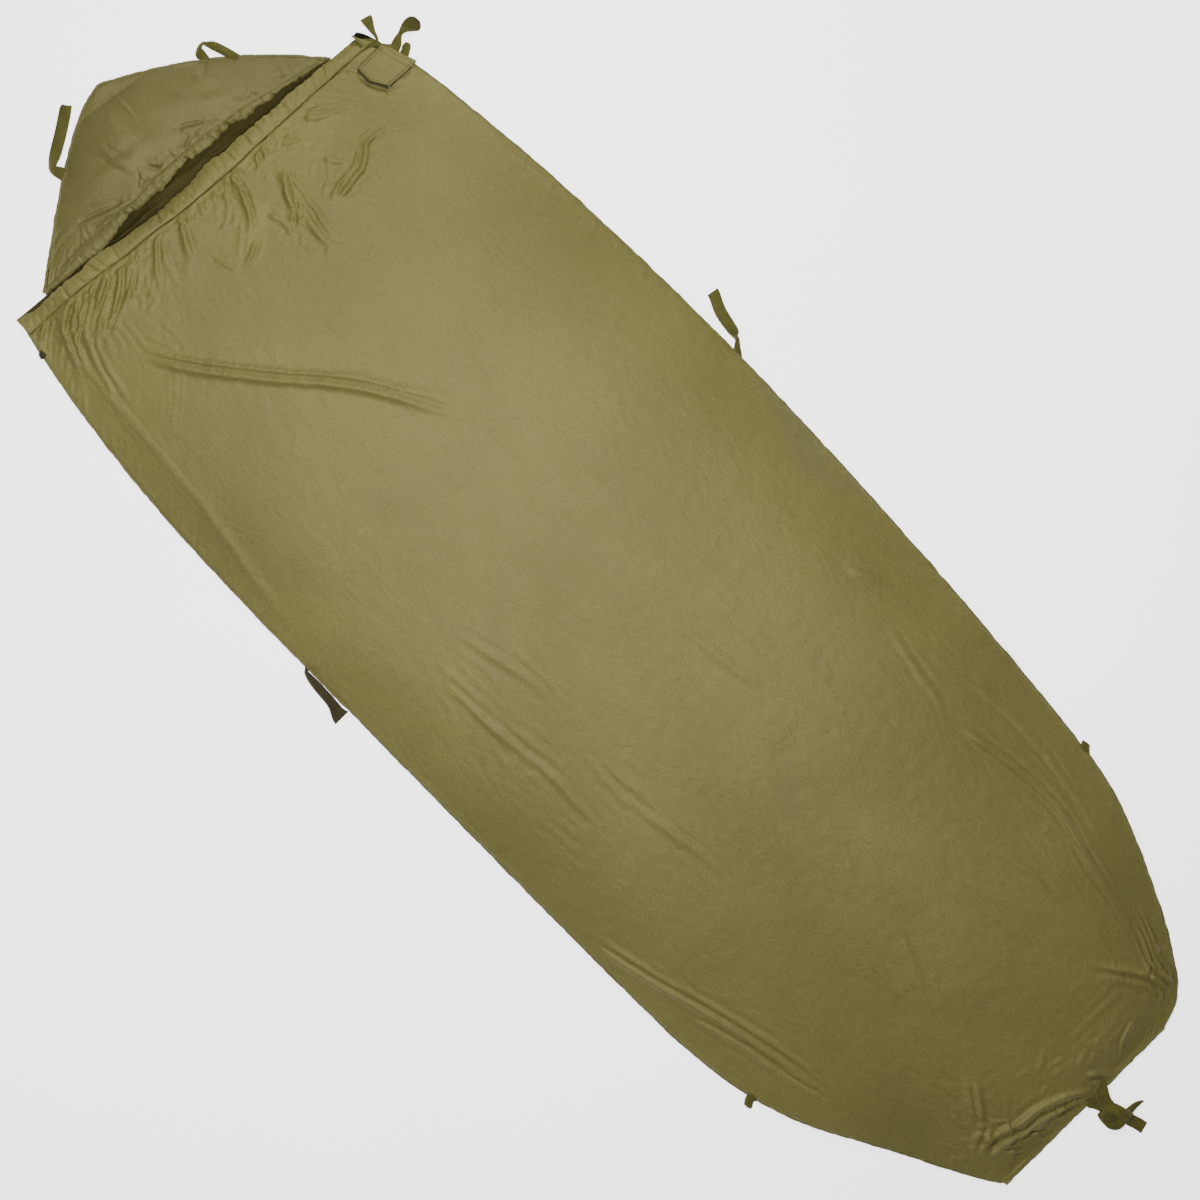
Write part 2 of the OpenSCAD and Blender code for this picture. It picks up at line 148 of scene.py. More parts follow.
def step(a, b, x):
    s = np.clip((np.asarray(x, float) - a) / (b - a), 0, 1)
    return s * s * (3 - 2 * s)


def half_l(y):
    return smooth(SIDE_L, np.asarray(y, float) - FOOT_Y)


def half_r(y):
    return smooth(SIDE_R, np.asarray(y, float) - FOOT_Y)


def neck_y(x):
    return NECK_MID - NECK_SLOPE * x


# Lines of both hems, [x, distance from the neck line]
BODY_EDGE = [(-353, -3), (-320, -6), (-280, -5), (-240, -7), (-228, -9), (-219, -5), (-180, -7),
             (-160, -12), (-140, -14), (-60, -14), (-20, -13), (0, -12), (20, -8), (40, -8),
             (60, -9), (100, -6), (110, -8), (140, -5), (175, -5), (200, -2), (280, -1),
             (300, -3), (321, 0), (330, -5), (335, -2), (342, 8)]
BODY_STITCH = [(-360, -32), (-320, -30), (-240, -31), (-200, -34), (-160, -37), (-100, -37),
               (-60, -40), (0, -40), (60, -39), (100, -36), (150, -33), (200, -30), (240, -27),
               (320, -22), (340, -23)]
HOOD_EDGE = [(-300, 0), (-220, -2), (-190, -4), (-178, -3), (-160, 1), (-120, 9), (-106, 12),
             (-97, 9), (-60, 10), (-50, 8), (-40, 10), (0, 16), (10, 19), (20, 16), (45, 13),
             (80, 15), (108, 17), (114, 14), (140, 11), (152, 13), (160, 10), (200, 9), (284, 1)]
HOOD_STITCH = [(-292, 8), (-240, 13), (-200, 18), (-160, 21), (-110, 25), (-90, 23), (-60, 29),
               (0, 32), (60, 32), (100, 30), (140, 27), (170, 22), (210, 17), (256, 12), (284, 9)]


def body_edge_y(x):
    return neck_y(x) + smooth(BODY_EDGE, x)


def hem_roll(x):
    """How far the body's hem rolls into the mouth, 0 to 1."""
    return np.exp(-(((x + 60) / 120) ** 2))


def body_stitch_y(x):
    return neck_y(x) + smooth(BODY_STITCH, x)


def hood_edge_y(x):
    return neck_y(x) + smooth(HOOD_EDGE, x)


def hood_stitch_y(x):
    return neck_y(x) + smooth(HOOD_STITCH, x)


BODY_L = float(body_stitch_y(0.0)) - FOOT_Y


def body_point_y(x, w):
    return FOOT_Y + w * BODY_L + w**4 * (body_stitch_y(x) - body_stitch_y(0.0))


def arch(x, left, right, power=2.6):
    q = np.minimum(1, np.abs(2 * x - left - right) / (right - left))
    return 1 - q**power


def body_height(x, w):
    """Height of the upper cloth's outer face."""
    left, right = -half_l(body_point_y(NECK_L, w)), half_r(body_point_y(NECK_R, w))
    flat_l, flat_r = mix(0, 22, w**8), 6 * w**4 + 57 * step(0.90, 0.956, w)
    a, b = left + flat_l, right - flat_r
    shape = 0.5 * arch(x, a, b) + 0.5 * arch(x, a, b, 5.0)
    ease = 0.3 + 0.7 * step(0, 70, np.minimum(x - a, b - x))
    shape = shape * mix(1, ease, w**6)
    return 2 * CLOTH_T + LOFT_H * smooth(LOFT, w - 0.0045) * shape


def hood_rows(w, s):
    """Points of the hood's upper cloth at share w from hem to tip and share s across."""
    t = mix(0.03, 0.992, w)
    a, b = bezier(HOOD_L, t), bezier(HOOD_R, t)
    half = (b[..., 0] - a[..., 0]) / 2
    flat = np.minimum(1 + 14 * (1 - w) ** 6, 0.3 * half)
    x = mix(a[..., 0], b[..., 0], s)
    y = mix(a[..., 1], b[..., 1], s)
    first = mix(bezier(HOOD_L, 0.03)[1], bezier(HOOD_R, 0.03)[1], s)
    y = y + (hood_stitch_y(x) - first) * (1 - w) ** 6
    tip = 0.16 * (1 - step(0.9, 1.0, w))
    z = 2 * CLOTH_T + HOOD_H * np.maximum(tip, smooth(HOOD_LOFT, w)) * arch(
        x, a[..., 0] + flat, b[..., 0] - flat)
    return x, y, z


# ---- Small tools --------------------------------------------------------------------


def wander(x, y, size, seed, parts=7):
    """Smooth, repeatable variation between about -1 and 1, with features about size across."""
    rng = np.random.default_rng(seed)
    out = np.zeros(np.broadcast(x, y).shape)
    for _ in range(parts):
        turn, phase = rng.uniform(0, 2 * math.pi, 2)
        k = 2 * math.pi / (size * rng.uniform(0.7, 1.7))
        out += np.sin(k * (x * math.cos(turn) + y * math.sin(turn)) + phase)
    return out / math.sqrt(parts) / 1.4


def curve_through(points, per=10):
    """A smooth line through points, as an array."""
    p = np.array(points, float)
    if len(p) == 2:
        return p[0] + np.linspace(0, 1, per + 1)[:, None] * (p[1] - p[0])
    ends = np.vstack([2 * p[0] - p[1], p, 2 * p[-1] - p[-2]])
    out = []
    for i in range(len(p) - 1):
        a, b, c, d = ends[i:i + 4]
        for s in np.linspace(0, 1, per, endpoint=False):
            out.append(0.5 * (2 * b + (c - a) * s + (2 * a - 5 * b + 4 * c - d) * s**2
                              + (3 * b - a - 3 * c + d) * s**3))
    out.append(p[-1])
    return np.array(out)


# The valley beside a fold, as shares of the fold's width and height
VALLEY_AT, VALLEY_WIDTH, VALLEY_DEPTH = 1.15, 0.52, 1.2


def fold(x, y, points, width, height, sharp, head, tail):
    """The lift that one fold gives to cloth at x, y. It runs along points, rises over the
    share head of its length and dies away over the share tail. Sharp sets a valley that
    runs along its left side, as a share of its height."""
    line = curve_through(points, 8)
    reach = 3.2 * width
    inside = (
        (x > line[:, 0].min() - reach) & (x < line[:, 0].max() + reach)
        & (y > line[:, 1].min() - reach) & (y < line[:, 1].max() + reach)
    )
    out = np.zeros(x.shape)
    if not inside.any():
        return out
    px, py = x[inside], y[inside]
    lengths = np.hypot(*np.diff(line, axis=0).T)
    along = np.concatenate([[0], np.cumsum(lengths)])
    best = np.full(px.shape, 1e9)
    where = np.zeros(px.shape)
    side = np.zeros(px.shape)
    for i in range(len(line) - 1):
        ax, ay = line[i]
        dx, dy = line[i + 1] - line[i]
        s = np.clip(((px - ax) * dx + (py - ay) * dy) / (lengths[i] ** 2 + 1e-9), 0, 1)
        ex, ey = px - ax - s * dx, py - ay - s * dy
        d = np.hypot(ex, ey)
        near = d < best
        best[near] = d[near]
        where[near] = (along[i] + s * lengths[i])[near] / along[-1]
        side[near] = np.sign(dx * ey - dy * ex)[near]
    d = best * side
    amount = step(0, max(head, 1e-3), where) if head > 0 else np.ones(px.shape)
    amount = amount * (1 - step(1 - tail, 1, where))
    amount = amount * np.exp(-np.maximum(0, best - reach * 0.5) / width)
    ridge = (1 - 0.25 * sharp) * np.exp(-np.abs(d / width) ** 1.5)
    valley = np.exp(-(((d - VALLEY_AT * width) / (VALLEY_WIDTH * width)) ** 2))
    out[inside] = height * amount * (ridge - VALLEY_DEPTH * sharp * valley)
    return out


def build(name, points, faces, material, smooth_faces=True):
    """A mesh object from points in millimetres."""
    data = bpy.data.meshes.new(name)
    data.from_pydata((np.asarray(points, float) * MM).tolist(), [], faces)
    data.materials.append(material)
    if smooth_faces:
        data.polygons.foreach_set("use_smooth", [True] * len(data.polygons))
    data.update()
    obj = bpy.data.objects.new(name, data)
    bpy.context.scene.collection.objects.link(obj)
    return obj


def grid_faces(rows, cols, close_cols=False, flip=False):
    """Quads over a grid of points, whose columns may close into a ring."""
    c = np.arange(cols if close_cols else cols - 1)
    R, C = np.meshgrid(np.arange(rows - 1), c, indexing="ij")
    r1, c1 = R + 1, (C + 1) % cols
    quads = np.stack([R * cols + C, R * cols + c1, r1 * cols + c1, r1 * cols + C], -1)
    quads = quads.reshape(-1, 4)
    return (quads[:, ::-1] if flip else quads).tolist()


def grid(name, X, Y, Z, material):
    return build(name, np.stack([X, Y, Z], -1).reshape(-1, 3), grid_faces(*X.shape), material)


def lay_uv(obj, uv):
    """uv is one pair for each vertex."""
    layer = obj.data.uv_layers.new(name="UVMap")
    loops = np.zeros(len(obj.data.loops), np.int32)
    obj.data.loops.foreach_get("vertex_index", loops)
    layer.data.foreach_set("uv", np.asarray(uv, float)[loops].ravel())


def join(name, objs):
    """One mesh object out of several."""
    bpy.ops.object.select_all(action="DESELECT")
    for o in objs:
        o.select_set(True)
    bpy.context.view_layer.objects.active = objs[0]
    if len(objs) > 1:
        bpy.ops.object.join()
    objs[0].name = name
    return objs[0]


def ribbon(name, stations, material, thick=1.4, notch=0.0, bow_most=2.6):
    """A flat tape through stations (x, y, z, turn, tilt, width). The tape's width points
    along turn, in degrees from x, and tilt raises that side. A width under that of the tape
    bows it across, up to bow_most. Notch cuts a V into its far end."""
    st = np.array(stations, float)
    turn, tilt = np.radians(st[:, 3]), np.radians(st[:, 4])
    side = np.stack([np.cos(turn) * np.cos(tilt), np.sin(turn) * np.cos(tilt), np.sin(tilt)], -1)
    packed = curve_through(np.hstack([st[:, :3], side * 10, st[:, 5:6]]), 8)
    centre, side, width = packed[:, :3], packed[:, 3:6], packed[:, 6]
    side /= np.linalg.norm(side, axis=1)[:, None]
    along = np.gradient(centre, axis=0)
    along /= np.linalg.norm(along, axis=1)[:, None] + 1e-9
    normal = np.cross(along, side)
    normal /= np.linalg.norm(normal, axis=1)[:, None] + 1e-9
    shares = np.array([-0.5, -0.46, -0.24, 0, 0.24, 0.46, 0.5])
    upper = [(q, thick / 2 * (0.25 if abs(q) == 0.5 else 1)) for q in shares]
    lower = [(q, -thick / 2) for q in shares[-2:0:-1]]
    ring = np.array(upper + lower)
    depth = np.minimum(0.43 * np.sqrt(np.maximum(0, TAPE_W**2 - width**2)), bow_most)
    bow = depth[:, None] * (1 - (2 * ring[:, 0]) ** 2)[None] * np.sign(normal[:, 2:3] + 1e-6)
    pts = (centre[:, None] + side[:, None] * (ring[:, 0][None, :, None] * width[:, None, None])
           + normal[:, None] * (ring[:, 1][None] + bow)[..., None])
    pts[..., 2] = np.maximum(pts[..., 2], 0.3)
    n, m = pts.shape[:2]
    if notch:
        back = notch * (1 - np.abs(2 * ring[:, 0]))
        pts[-1] -= along[-1] * back[:, None]
        pts[-2] -= along[-1] * back[:, None] * 0.9
    faces = grid_faces(n, m, close_cols=True, flip=True)
    faces.append(list(range(m)))
    faces.append([(n - 1) * m + i for i in range(m)][::-1])
    obj = build(name, pts.reshape(-1, 3), faces, material)
    lengths = np.concatenate([[0], np.cumsum(np.linalg.norm(np.diff(centre, axis=0), axis=1))])
    u = np.repeat(lengths, m) * MM
    v = np.tile(ring[:, 0], n) * np.repeat(width, m) * MM
    lay_uv(obj, np.stack([u, v], -1))
    for p in obj.data.polygons:
        p.use_smooth = len(p.vertices) == 4
    return obj


def stitches(name, line, normal_z, material, length=3.2, gap=1.6, radius=0.45):
    """Thread stitches along a line of points, each a little bar that stands on the cloth."""
    line = np.asarray(line, float)
    lengths = np.concatenate([[0], np.cumsum(np.linalg.norm(np.diff(line, axis=0), axis=1))])
    starts = np.arange(0, lengths[-1] - length, length + gap)
    ring = np.array([(math.cos(a), math.sin(a)) for a in np.linspace(0, 2 * math.pi, 6)[:-1]])
    points, faces = [], []
    for s0 in starts:
        at = [np.array([np.interp(s0 + k * length, lengths, line[:, j]) for j in range(3)])
              for k in (0, 0.25, 0.75, 1)]
        way = at[-1] - at[0]
        way /= np.linalg.norm(way) + 1e-9
        across = np.array([-way[1], way[0], 0])
        across /= np.linalg.norm(across) + 1e-9
        up = np.cross(way, across)
        base = len(points)
        for k, (p, share, rise) in enumerate(zip(at, (0.5, 1, 1, 0.5), (-0.3, 0.15, 0.15, -0.3))):
            for c, s in ring:
                points.append(p + (across * c + up * s) * radius * share
                              + np.array([0, 0, normal_z + rise]))
        for k in range(3):
            for j in range(5):
                a, b = base + k * 5 + j, base + k * 5 + (j + 1) % 5
                faces.append([a, b, b + 5, a + 5])
        faces.append([base + j for j in range(4, -1, -1)])
        faces.append([base + 15 + j for j in range(5)])
    return build(name, points, faces, material)


# ---- Materials ----------------------------------------------------------------------


SHEEN_TINT, GLOSS_TINT = (0.75, 0.70, 0.42, 1), (0.95, 0.90, 0.52, 1)
THREAD_PITCH, RIB_PITCH, TWIST_PITCH = 0.0011, 0.0016, 0.0009


def grey(value):
    return (value, value, value, 1)


def srgb(r, g, b):
    return [((c / 255 + 0.055) / 1.055) ** 2.4 if c > 10 else c / 255 / 12.92 for c in (r, g, b)] + [1]


class Nodes:
    """A material's node tree, with a Principled shader at its end."""

    def __init__(self, name):
        self.material = bpy.data.materials.new(name)
        self.material.use_nodes = True
        self.tree = self.material.node_tree
        self.shader = self.tree.nodes["Principled BSDF"]

    def add(self, kind, **values):
        node = self.tree.nodes.new(kind)
        for key, value in values.items():
            if key in node.inputs:
                node.inputs[key].default_value = value
            else:
                setattr(node, key, value)
        return node

    def link(self, out, into):
        self.tree.links.new(out, into)

    def coords(self, scale=(1, 1, 1), source="Object"):
        place = self.add("ShaderNodeTexCoord")
        mapping = self.add("ShaderNodeMapping", Scale=scale)
        self.link(place.outputs[source], mapping.inputs["Vector"])
        return mapping.outputs["Vector"]

    def noise(self, vector, scale, detail=3.0, rough=0.55, twist=0.0, **kind):
        node = self.add("ShaderNodeTexNoise", **kind, Scale=scale, Detail=detail,
                        Roughness=rough, Distortion=twist)
        self.link(vector, node.inputs["Vector"])
        return node.outputs["Fac"]

    def between(self, fac, a, b, low=0.35, high=0.65):
        node = self.add("ShaderNodeValToRGB")
        node.color_ramp.elements[0].position = low
        node.color_ramp.elements[0].color = a
        node.color_ramp.elements[1].position = high
        node.color_ramp.elements[1].color = b
        self.link(fac, node.inputs["Fac"])
        return node.outputs["Color"]

    def blend(self, kind, fac, a, b):
        node = self.add("ShaderNodeMix", data_type="RGBA", blend_type=kind)
        if isinstance(fac, (int, float)):
            node.inputs["Factor"].default_value = fac
        else:
            self.link(fac, node.inputs["Factor"])
        self.link(a, node.inputs["A"])
        self.link(b, node.inputs["B"])
        return node.outputs["Result"]

    def wave(self, vector, period, direction):
        node = self.add("ShaderNodeTexWave", bands_direction=direction,
                        Scale=2 * math.pi / (20 * period))
        self.link(vector, node.inputs["Vector"])
        return node.outputs["Fac"]

    def maths(self, kind, a, b):
        node = self.add("ShaderNodeMath", operation=kind)
        for value, socket in ((a, node.inputs[0]), (b, node.inputs[1])):
            if isinstance(value, (int, float)):
                socket.default_value = value
            else:
                self.link(value, socket)
        return node.outputs[0]

    def gathered(self, vector):
        """More towards the hems, the foot and the side seams."""
        split = self.add("ShaderNodeSeparateXYZ")
        self.link(vector, split.inputs[0])
        ends = self.maths("MULTIPLY", split.outputs["Y"], 1.05)
        ends = self.maths("POWER", self.maths("ABSOLUTE", ends, 0), 5.0)
        sides = self.maths("MULTIPLY", self.maths("ABSOLUTE", split.outputs["X"], 0), 2.3)
        sides = self.maths("POWER", sides, 5.0)
        return self.maths("MULTIPLY", self.maths("MINIMUM", self.maths("ADD", ends, sides), 1.2), 1.1)

    def bump(self, height, distance, strength, under=None):
        node = self.add("ShaderNodeBump", Distance=distance, Strength=strength)
        self.link(height, node.inputs["Height"])
        if under is not None:
            self.link(under, node.inputs["Normal"])
        return node.outputs["Normal"]

    def finish(self, colour, normal, rough, sheen, specular=0.2):
        self.link(colour, self.shader.inputs["Base Color"])
        self.link(normal, self.shader.inputs["Normal"])
        values = {"Roughness": rough, "Specular IOR Level": specular, "Sheen Weight": sheen,
                  "Sheen Roughness": 0.45, "Sheen Tint": SHEEN_TINT, "Specular Tint": GLOSS_TINT}
        for key, value in values.items():
            self.shader.inputs[key].default_value = value
        return self.material


def nylon(name, light, dark, worn_to, rough=0.58, sheen=0.03, specular=0.5):
    """Coated plain-weave nylon: fine threads, soft crinkles, patchy colour and greyer wear."""
    n = Nodes(name)
    place = n.coords()
    drift = n.noise(n.coords(), 3.2, 4, 0.55, 0.4)
    colour = n.between(drift, dark, light, 0.32, 0.68)
    worn = n.noise(n.coords((1.6, 1.0, 1)), 2.3, 3, 0.5, 0.9)
    spot = n.between(worn, grey(0), grey(0.55), 0.60, 0.78)
    tone = n.add("ShaderNodeRGB")
    tone.outputs[0].default_value = worn_to
    colour = n.blend("MIX", spot, colour, tone.outputs[0])
    speck = n.between(n.noise(place, 420, 2, 0.6), grey(0.74), grey(1.17), 0.3, 0.7)
    colour = n.blend("MULTIPLY", 1.0, colour, speck)
    weave = n.maths("MULTIPLY", n.wave(place, THREAD_PITCH, "X"), n.wave(place, THREAD_PITCH, "Y"))
    fine = n.bump(weave, 0.00012, 0.5)
    crinkle = n.noise(n.coords((1.0, 0.55, 1)), 30, 5, 0.66, 1.2)
    soft = n.bump(crinkle, 0.0033, 0.5, fine)
    ridged = n.noise(n.coords((1.0, 0.7, 1)), 15, 2.5, 0.5, 0.5,
                     noise_type="RIDGED_MULTIFRACTAL")
    spread = n.between(n.noise(place, 5.0, 2), grey(0), grey(1), 0.42, 0.66)
    creased = n.maths("MULTIPLY", ridged, n.maths("ADD", n.gathered(place), spread))
    crisp = n.bump(creased, 0.0024, 0.55, soft)
    return n.finish(colour, crisp, rough, sheen, specular)


def webbing(name, light, dark):
    """Woven tape, with a herringbone of fine ribs along it."""
    n = Nodes(name)
    place = n.coords(source="UV")
    drift = n.noise(n.coords(), 60, 3, 0.6)
    colour = n.between(drift, dark, light, 0.3, 0.7)
    ribs = n.wave(place, RIB_PITCH, "DIAGONAL")
    cross = n.wave(place, RIB_PITCH * 0.55, "X")
    height = n.maths("ADD", n.maths("MULTIPLY", ribs, 0.7), n.maths("MULTIPLY", cross, 0.5))
    shade = n.between(height, grey(0.72), grey(1.12), 0.1, 0.9)
    colour = n.blend("MULTIPLY", 0.8, colour, shade)
    return n.finish(colour, n.bump(height, 0.0004, 0.6), 0.72, 0.3, 0.3)


def yarn(name, light, dark):
    n = Nodes(name)
    twist = n.wave(n.coords(), TWIST_PITCH, "DIAGONAL")
    colour = n.between(twist, dark, light, 0.2, 0.8)
    return n.finish(colour, n.bump(twist, 0.0002, 0.5), 0.6, 0.2, 0.4)


def hooks(name, light, dark):
    n = Nodes(name)
    pile = n.noise(n.coords(), 900, 2, 0.7)
    colour = n.between(pile, dark, light, 0.35, 0.7)
    return n.finish(colour, n.bump(pile, 0.0009, 0.9), 0.9, 0.3, 0.2)


CLOTH = nylon("cloth", srgb(86, 81, 40), srgb(74, 70, 32), srgb(68, 69, 47))
# A darker copy of the same cloth for the hood, its hem and the seam rolls: painted shade where the
# cloth slopes away from the light.
CLOTH_SHADED = nylon("cloth_painted_shade", srgb(75, 71, 35), srgb(63, 60, 28), srgb(57, 58, 39))
# The back cloth, much darker than the upper cloth: partly its own darker inner face, partly painted
# shade inside the mouth and under the flap.
CLOTH_BACK_SHADED = nylon("cloth_back", srgb(53, 49, 23), srgb(43, 39, 17), srgb(40, 38, 22), 0.7, 0, 0.08)
# Near-black cloth: painted shade for the inside of the body hem's open end.
CLOTH_DARK = nylon("cloth_shade", srgb(20, 18, 8), srgb(14, 12, 5), srgb(16, 15, 8), 0.8, 0, 0.05)
TAPE = webbing("tape", srgb(66, 64, 22), srgb(50, 49, 15))
# A darker copy of the tape: painted shade on the far, folded-back piece of the lower draw tape tail.
TAPE_PAINTED_SHADE = webbing("tape_shade", srgb(50, 48, 16), srgb(36, 35, 11))
TAPE_DARK = webbing("dark_tape", srgb(38, 33, 18), srgb(24, 21, 12))
THREAD = yarn("thread", srgb(70, 65, 31), srgb(54, 50, 23))
# Near-black cord: painted shadow along the flap's raised free edges.
SHADOW_EDGE_YARN = yarn("painted_shadow_edge", srgb(28, 24, 10), srgb(18, 15, 6))
HOOK = hooks("hook_and_loop", srgb(40, 38, 24), srgb(20, 19, 12))


def floor_material():
    n = Nodes("floor")
    drift = n.noise(n.coords(), 2.0, 2)
    colour = n.between(drift, grey(0.93), grey(0.95))
    n.link(colour, n.shader.inputs["Base Color"])
    n.shader.inputs["Roughness"].default_value = 0.9
    n.shader.inputs["Emission Color"].default_value = (1, 1, 1, 1)
    n.shader.inputs["Emission Strength"].default_value = 1.5
    return n.material


FLOOR_HALF = 40000
floor = build("floor", [(a * FLOOR_HALF, b * FLOOR_HALF, 0)
                        for a, b in ((-1, -1), (1, -1), (1, 1), (-1, 1))],
              [[0, 1, 2, 3]], floor_material(), False)

# ---- Upper cloth of the body --------------------------------------------------------

# Folds seen on the upper cloth: (points, half-width, height, valley share, head, tail)
HEM_FOLDS = [
    ([(-322, 922), (-345, 906), (-357, 892)], 10, 5, 0.6, 0.1, 0.4),
    ([(-268, 914), (-310, 892), (-334, 850), (-352, 800)], 11, 8, 0.7, 0.05, 0.4),
    ([(-222, 905), (-252, 890), (-268, 880)], 7, 5, 0.7, 0.1, 0.6),
    ([(-254, 858), (-270, 852), (-284, 842)], 7, 5, 0.7, 0.2, 0.5),
    ([(-245, 905), (-290, 878), (-330, 848)], 9, 6, 0.5, 0.1, 0.6),
    ([(-205, 898), (-240, 880), (-285, 862)], 8, 5, 0.6, 0.1, 0.6),
    ([(-180, 893), (-215, 862), (-262, 838), (-300, 826)], 9, 6, 0.6, 0.05, 0.6),
    ([(-150, 888), (-190, 858), (-225, 832)], 8, 5, 0.6, 0.05, 0.6),
    ([(-108, 884), (-140, 850), (-170, 805)], 8, 4.5, 0.5, 0.05, 0.6),
    ([(-60, 880), (-80, 840), (-100, 800)], 9, 4, 0.5, 0.05, 0.6),
    ([(46, 872), (40, 845), (22, 806), (0, 772)], 8, 7, 0.7, 0.03, 0.5),
    ([(2, 772), (-20, 758), (-50, 752)], 8, 4, 0.5, 0.2, 0.5),
    ([(-66, 800), (-58, 770), (-46, 748)], 7, 4, 0.6, 0.2, 0.5),
    ([(100, 872), (88, 852), (74, 842)], 7, 4, 0.5, 0.05, 0.6),
    ([(112, 822), (96, 800), (80, 768), (72, 734)], 11, 8, 0.6, 0.2, 0.45),
    ([(98, 806), (84, 745), (78, 690), (92, 655)], 12, 7, 0.5, 0.15, 0.45),
    ([(40, 790), (52, 762), (48, 718)], 8, 5, 0.6, 0.2, 0.5),
    ([(64, 735), (78, 752), (92, 768)], 7, 5, 0.7, 0.2, 0.5),
    ([(140, 845), (158, 838), (175, 832)], 6, 4, 0.6, 0.1, 0.5),
    ([(190, 852), (212, 836), (240, 822), (268, 808)], 9, 6, 0.6, 0.05, 0.6),
    ([(132, 722), (170, 728), (208, 736), (232, 756), (262, 754), (298, 750)], 9, 6, 0.6, 0.15, 0.4),
    ([(165, 790), (180, 768), (196, 745)], 7, 4, 0.6, 0.2, 0.5),
    ([(290, 866), (300, 845), (322, 828)], 7, 3, 0.4, 0.1, 0.6),
]
FLAP_FOLDS = [
    ([(302, 856), (301, 828), (313, 804), (324, 796)], 3.2, -4.0, 0.0, 0.05, 0.1),
    ([(322, 795), (345, 795), (368, 795)], 2.6, -2.5, 0.0, 0.1, 0.1),
    ([(294, 854), (293, 824), (307, 797), (327, 785)], 4.5, 3.0, 0.0, 0.2, 0.3),
]
# Sharp creases in the body, which show as thin dark lines
BODY_CREASES = [
    [(-216, 897), (-250, 880), (-282, 866)], [(-148, 893), (-166, 876), (-206, 860)],
    [(-262, 908), (-300, 892), (-326, 868), (-340, 842)], [(-100, 882), (-118, 868), (-132, 858)],
    [(-78, 886), (-72, 872), (-74, 864)], [(-4, 888), (2, 874), (0, 862)],
    [(48, 866), (40, 850), (30, 838)], [(106, 868), (96, 852), (84, 842)],
    [(118, 884), (124, 870), (128, 862)], [(190, 862), (204, 852), (212, 846)],
    [(112, 826), (98, 802), (84, 770), (78, 740)], [(98, 786), (84, 752), (88, 690)],
    [(60, 744), (78, 756), (96, 776)], [(-70, 806), (-64, 778), (-60, 756)],
    [(8, 806), (-4, 790), (-24, 772), (-50, 762)], [(208, 838), (236, 822), (270, 806), (300, 798)],
    [(140, 730), (180, 742), (214, 746), (240, 762)], [(-4, 870), (-20, 842), (-30, 822)],
    [(-186, 858), (-200, 836), (-206, 820)], [(300, 792), (314, 776), (338, 764)],
    [(-330, 876), (-346, 838), (-352, 800)], [(160, 822), (176, 802), (182, 782)],
]
LONG_FOLDS = [
    ([(-262, 770), (-228, 712), (-190, 660), (-130, 585), (-50, 490), (20, 372), (62, 300)],
     9, 8, 0.7, 0.12, 0.35),
    ([(-232, 790), (-214, 752), (-196, 728)], 6, 3, 0.5, 0.3, 0.5),
    ([(-292, 870), (-322, 800), (-338, 720)], 10, 5, 0.5, 0.1, 0.5),
    ([(-290, 150), (-282, 40), (-270, -80), (-262, -210), (-268, -360)], 16, 5, 0.3, 0.25, 0.4),
    ([(-215, 120), (-180, -30), (-188, -120)], 15, 4, 0.3, 0.3, 0.5),
    ([(40, -80), (56, -200), (78, -330)], 18, 3.5, 0.2, 0.3, 0.5),
    ([(150, -90), (128, -200), (112, -330)], 18, 3, 0.2, 0.3, 0.5),
    ([(-200, -120), (-205, -260), (-180, -430), (-195, -560)], 15, 4, 0.3, 0.3, 0.4),
    ([(-408, -370), (-380, -500), (-345, -620), (-318, -745), (-298, -860)], 10, 6, 0.6, 0.15, 0.4),
    ([(-385, -560), (-352, -660), (-330, -770), (-300, -880)], 8, 4, 0.5, 0.2, 0.4),
    ([(298, -245), (316, -290), (336, -330)], 9, 5, 0.5, 0.3, 0.5),
    ([(285, -340), (262, -460), (250, -560)], 13, 4, 0.3, 0.3, 0.5),
    ([(246, -535), (266, -640), (270, -760), (240, -880), (206, -1056)], 11, 6, 0.5, 0.12, 0.35),
    ([(300, -480), (322, -600), (305, -760), (270, -900)], 10, 4, 0.5, 0.2, 0.5),
    ([(150, -700), (168, -800), (160, -900)], 12, 3.5, 0.4, 0.3, 0.5),
    ([(60, -700), (85, -830), (110, -920)], 13, 3, 0.3, 0.3, 0.5),
    ([(-30, -640), (-60, -760), (-120, -880)], 15, 3, 0.3, 0.3, 0.5),
]
FOOT_FOLDS = [
    ([(-2, -1120), (-33, -1094), (-76, -1076), (-118, -1070), (-160, -1058), (-200, -1062)],
     12, 8, 0.85, 0.03, 0.15),
    ([(-206, -1064), (-180, -1054), (-147, -1038)], 8, 4, 0.8, 0.2, 0.5),
    ([(-164, -1030), (-142, -1002), (-118, -966)], 11, 4.5, 0.7, 0.3, 0.4),
    ([(-222, -1104), (-224, -1050), (-242, -966)], 10, -4, 0.0, 0.2, 0.5),
    ([(-172, -1088), (-158, -1098), (-143, -1112)], 7, 4, 0.7, 0.2, 0.3),
    ([(-124, -1096), (-108, -1106), (-96, -1118)], 7, 4, 0.7, 0.2, 0.3),
    ([(-62, -1092), (-50, -1102), (-40, -1112)], 7, 3, 0.7, 0.2, 0.3),
    ([(34, -1122), (22, -1104), (6, -1086)], 9, 7, 0.7, 0.05, 0.4),
    ([(60, -1118), (90, -1092), (140, -1078)], 8, 4, 0.5, 0.1, 0.5),
    ([(198, -1086), (190, -1050), (165, -1010), (130, -962)], 11, 5, 0.8, 0.06, 0.5),
    ([(206, -1086), (208, -1040), (226, -990), (246, -930)], 9, 5, 0.8, 0.05, 0.5),
    ([(216, -1078), (224, -1036), (246, -985), (262, -940)], 7, 4, 0.8, 0.05, 0.5),
]


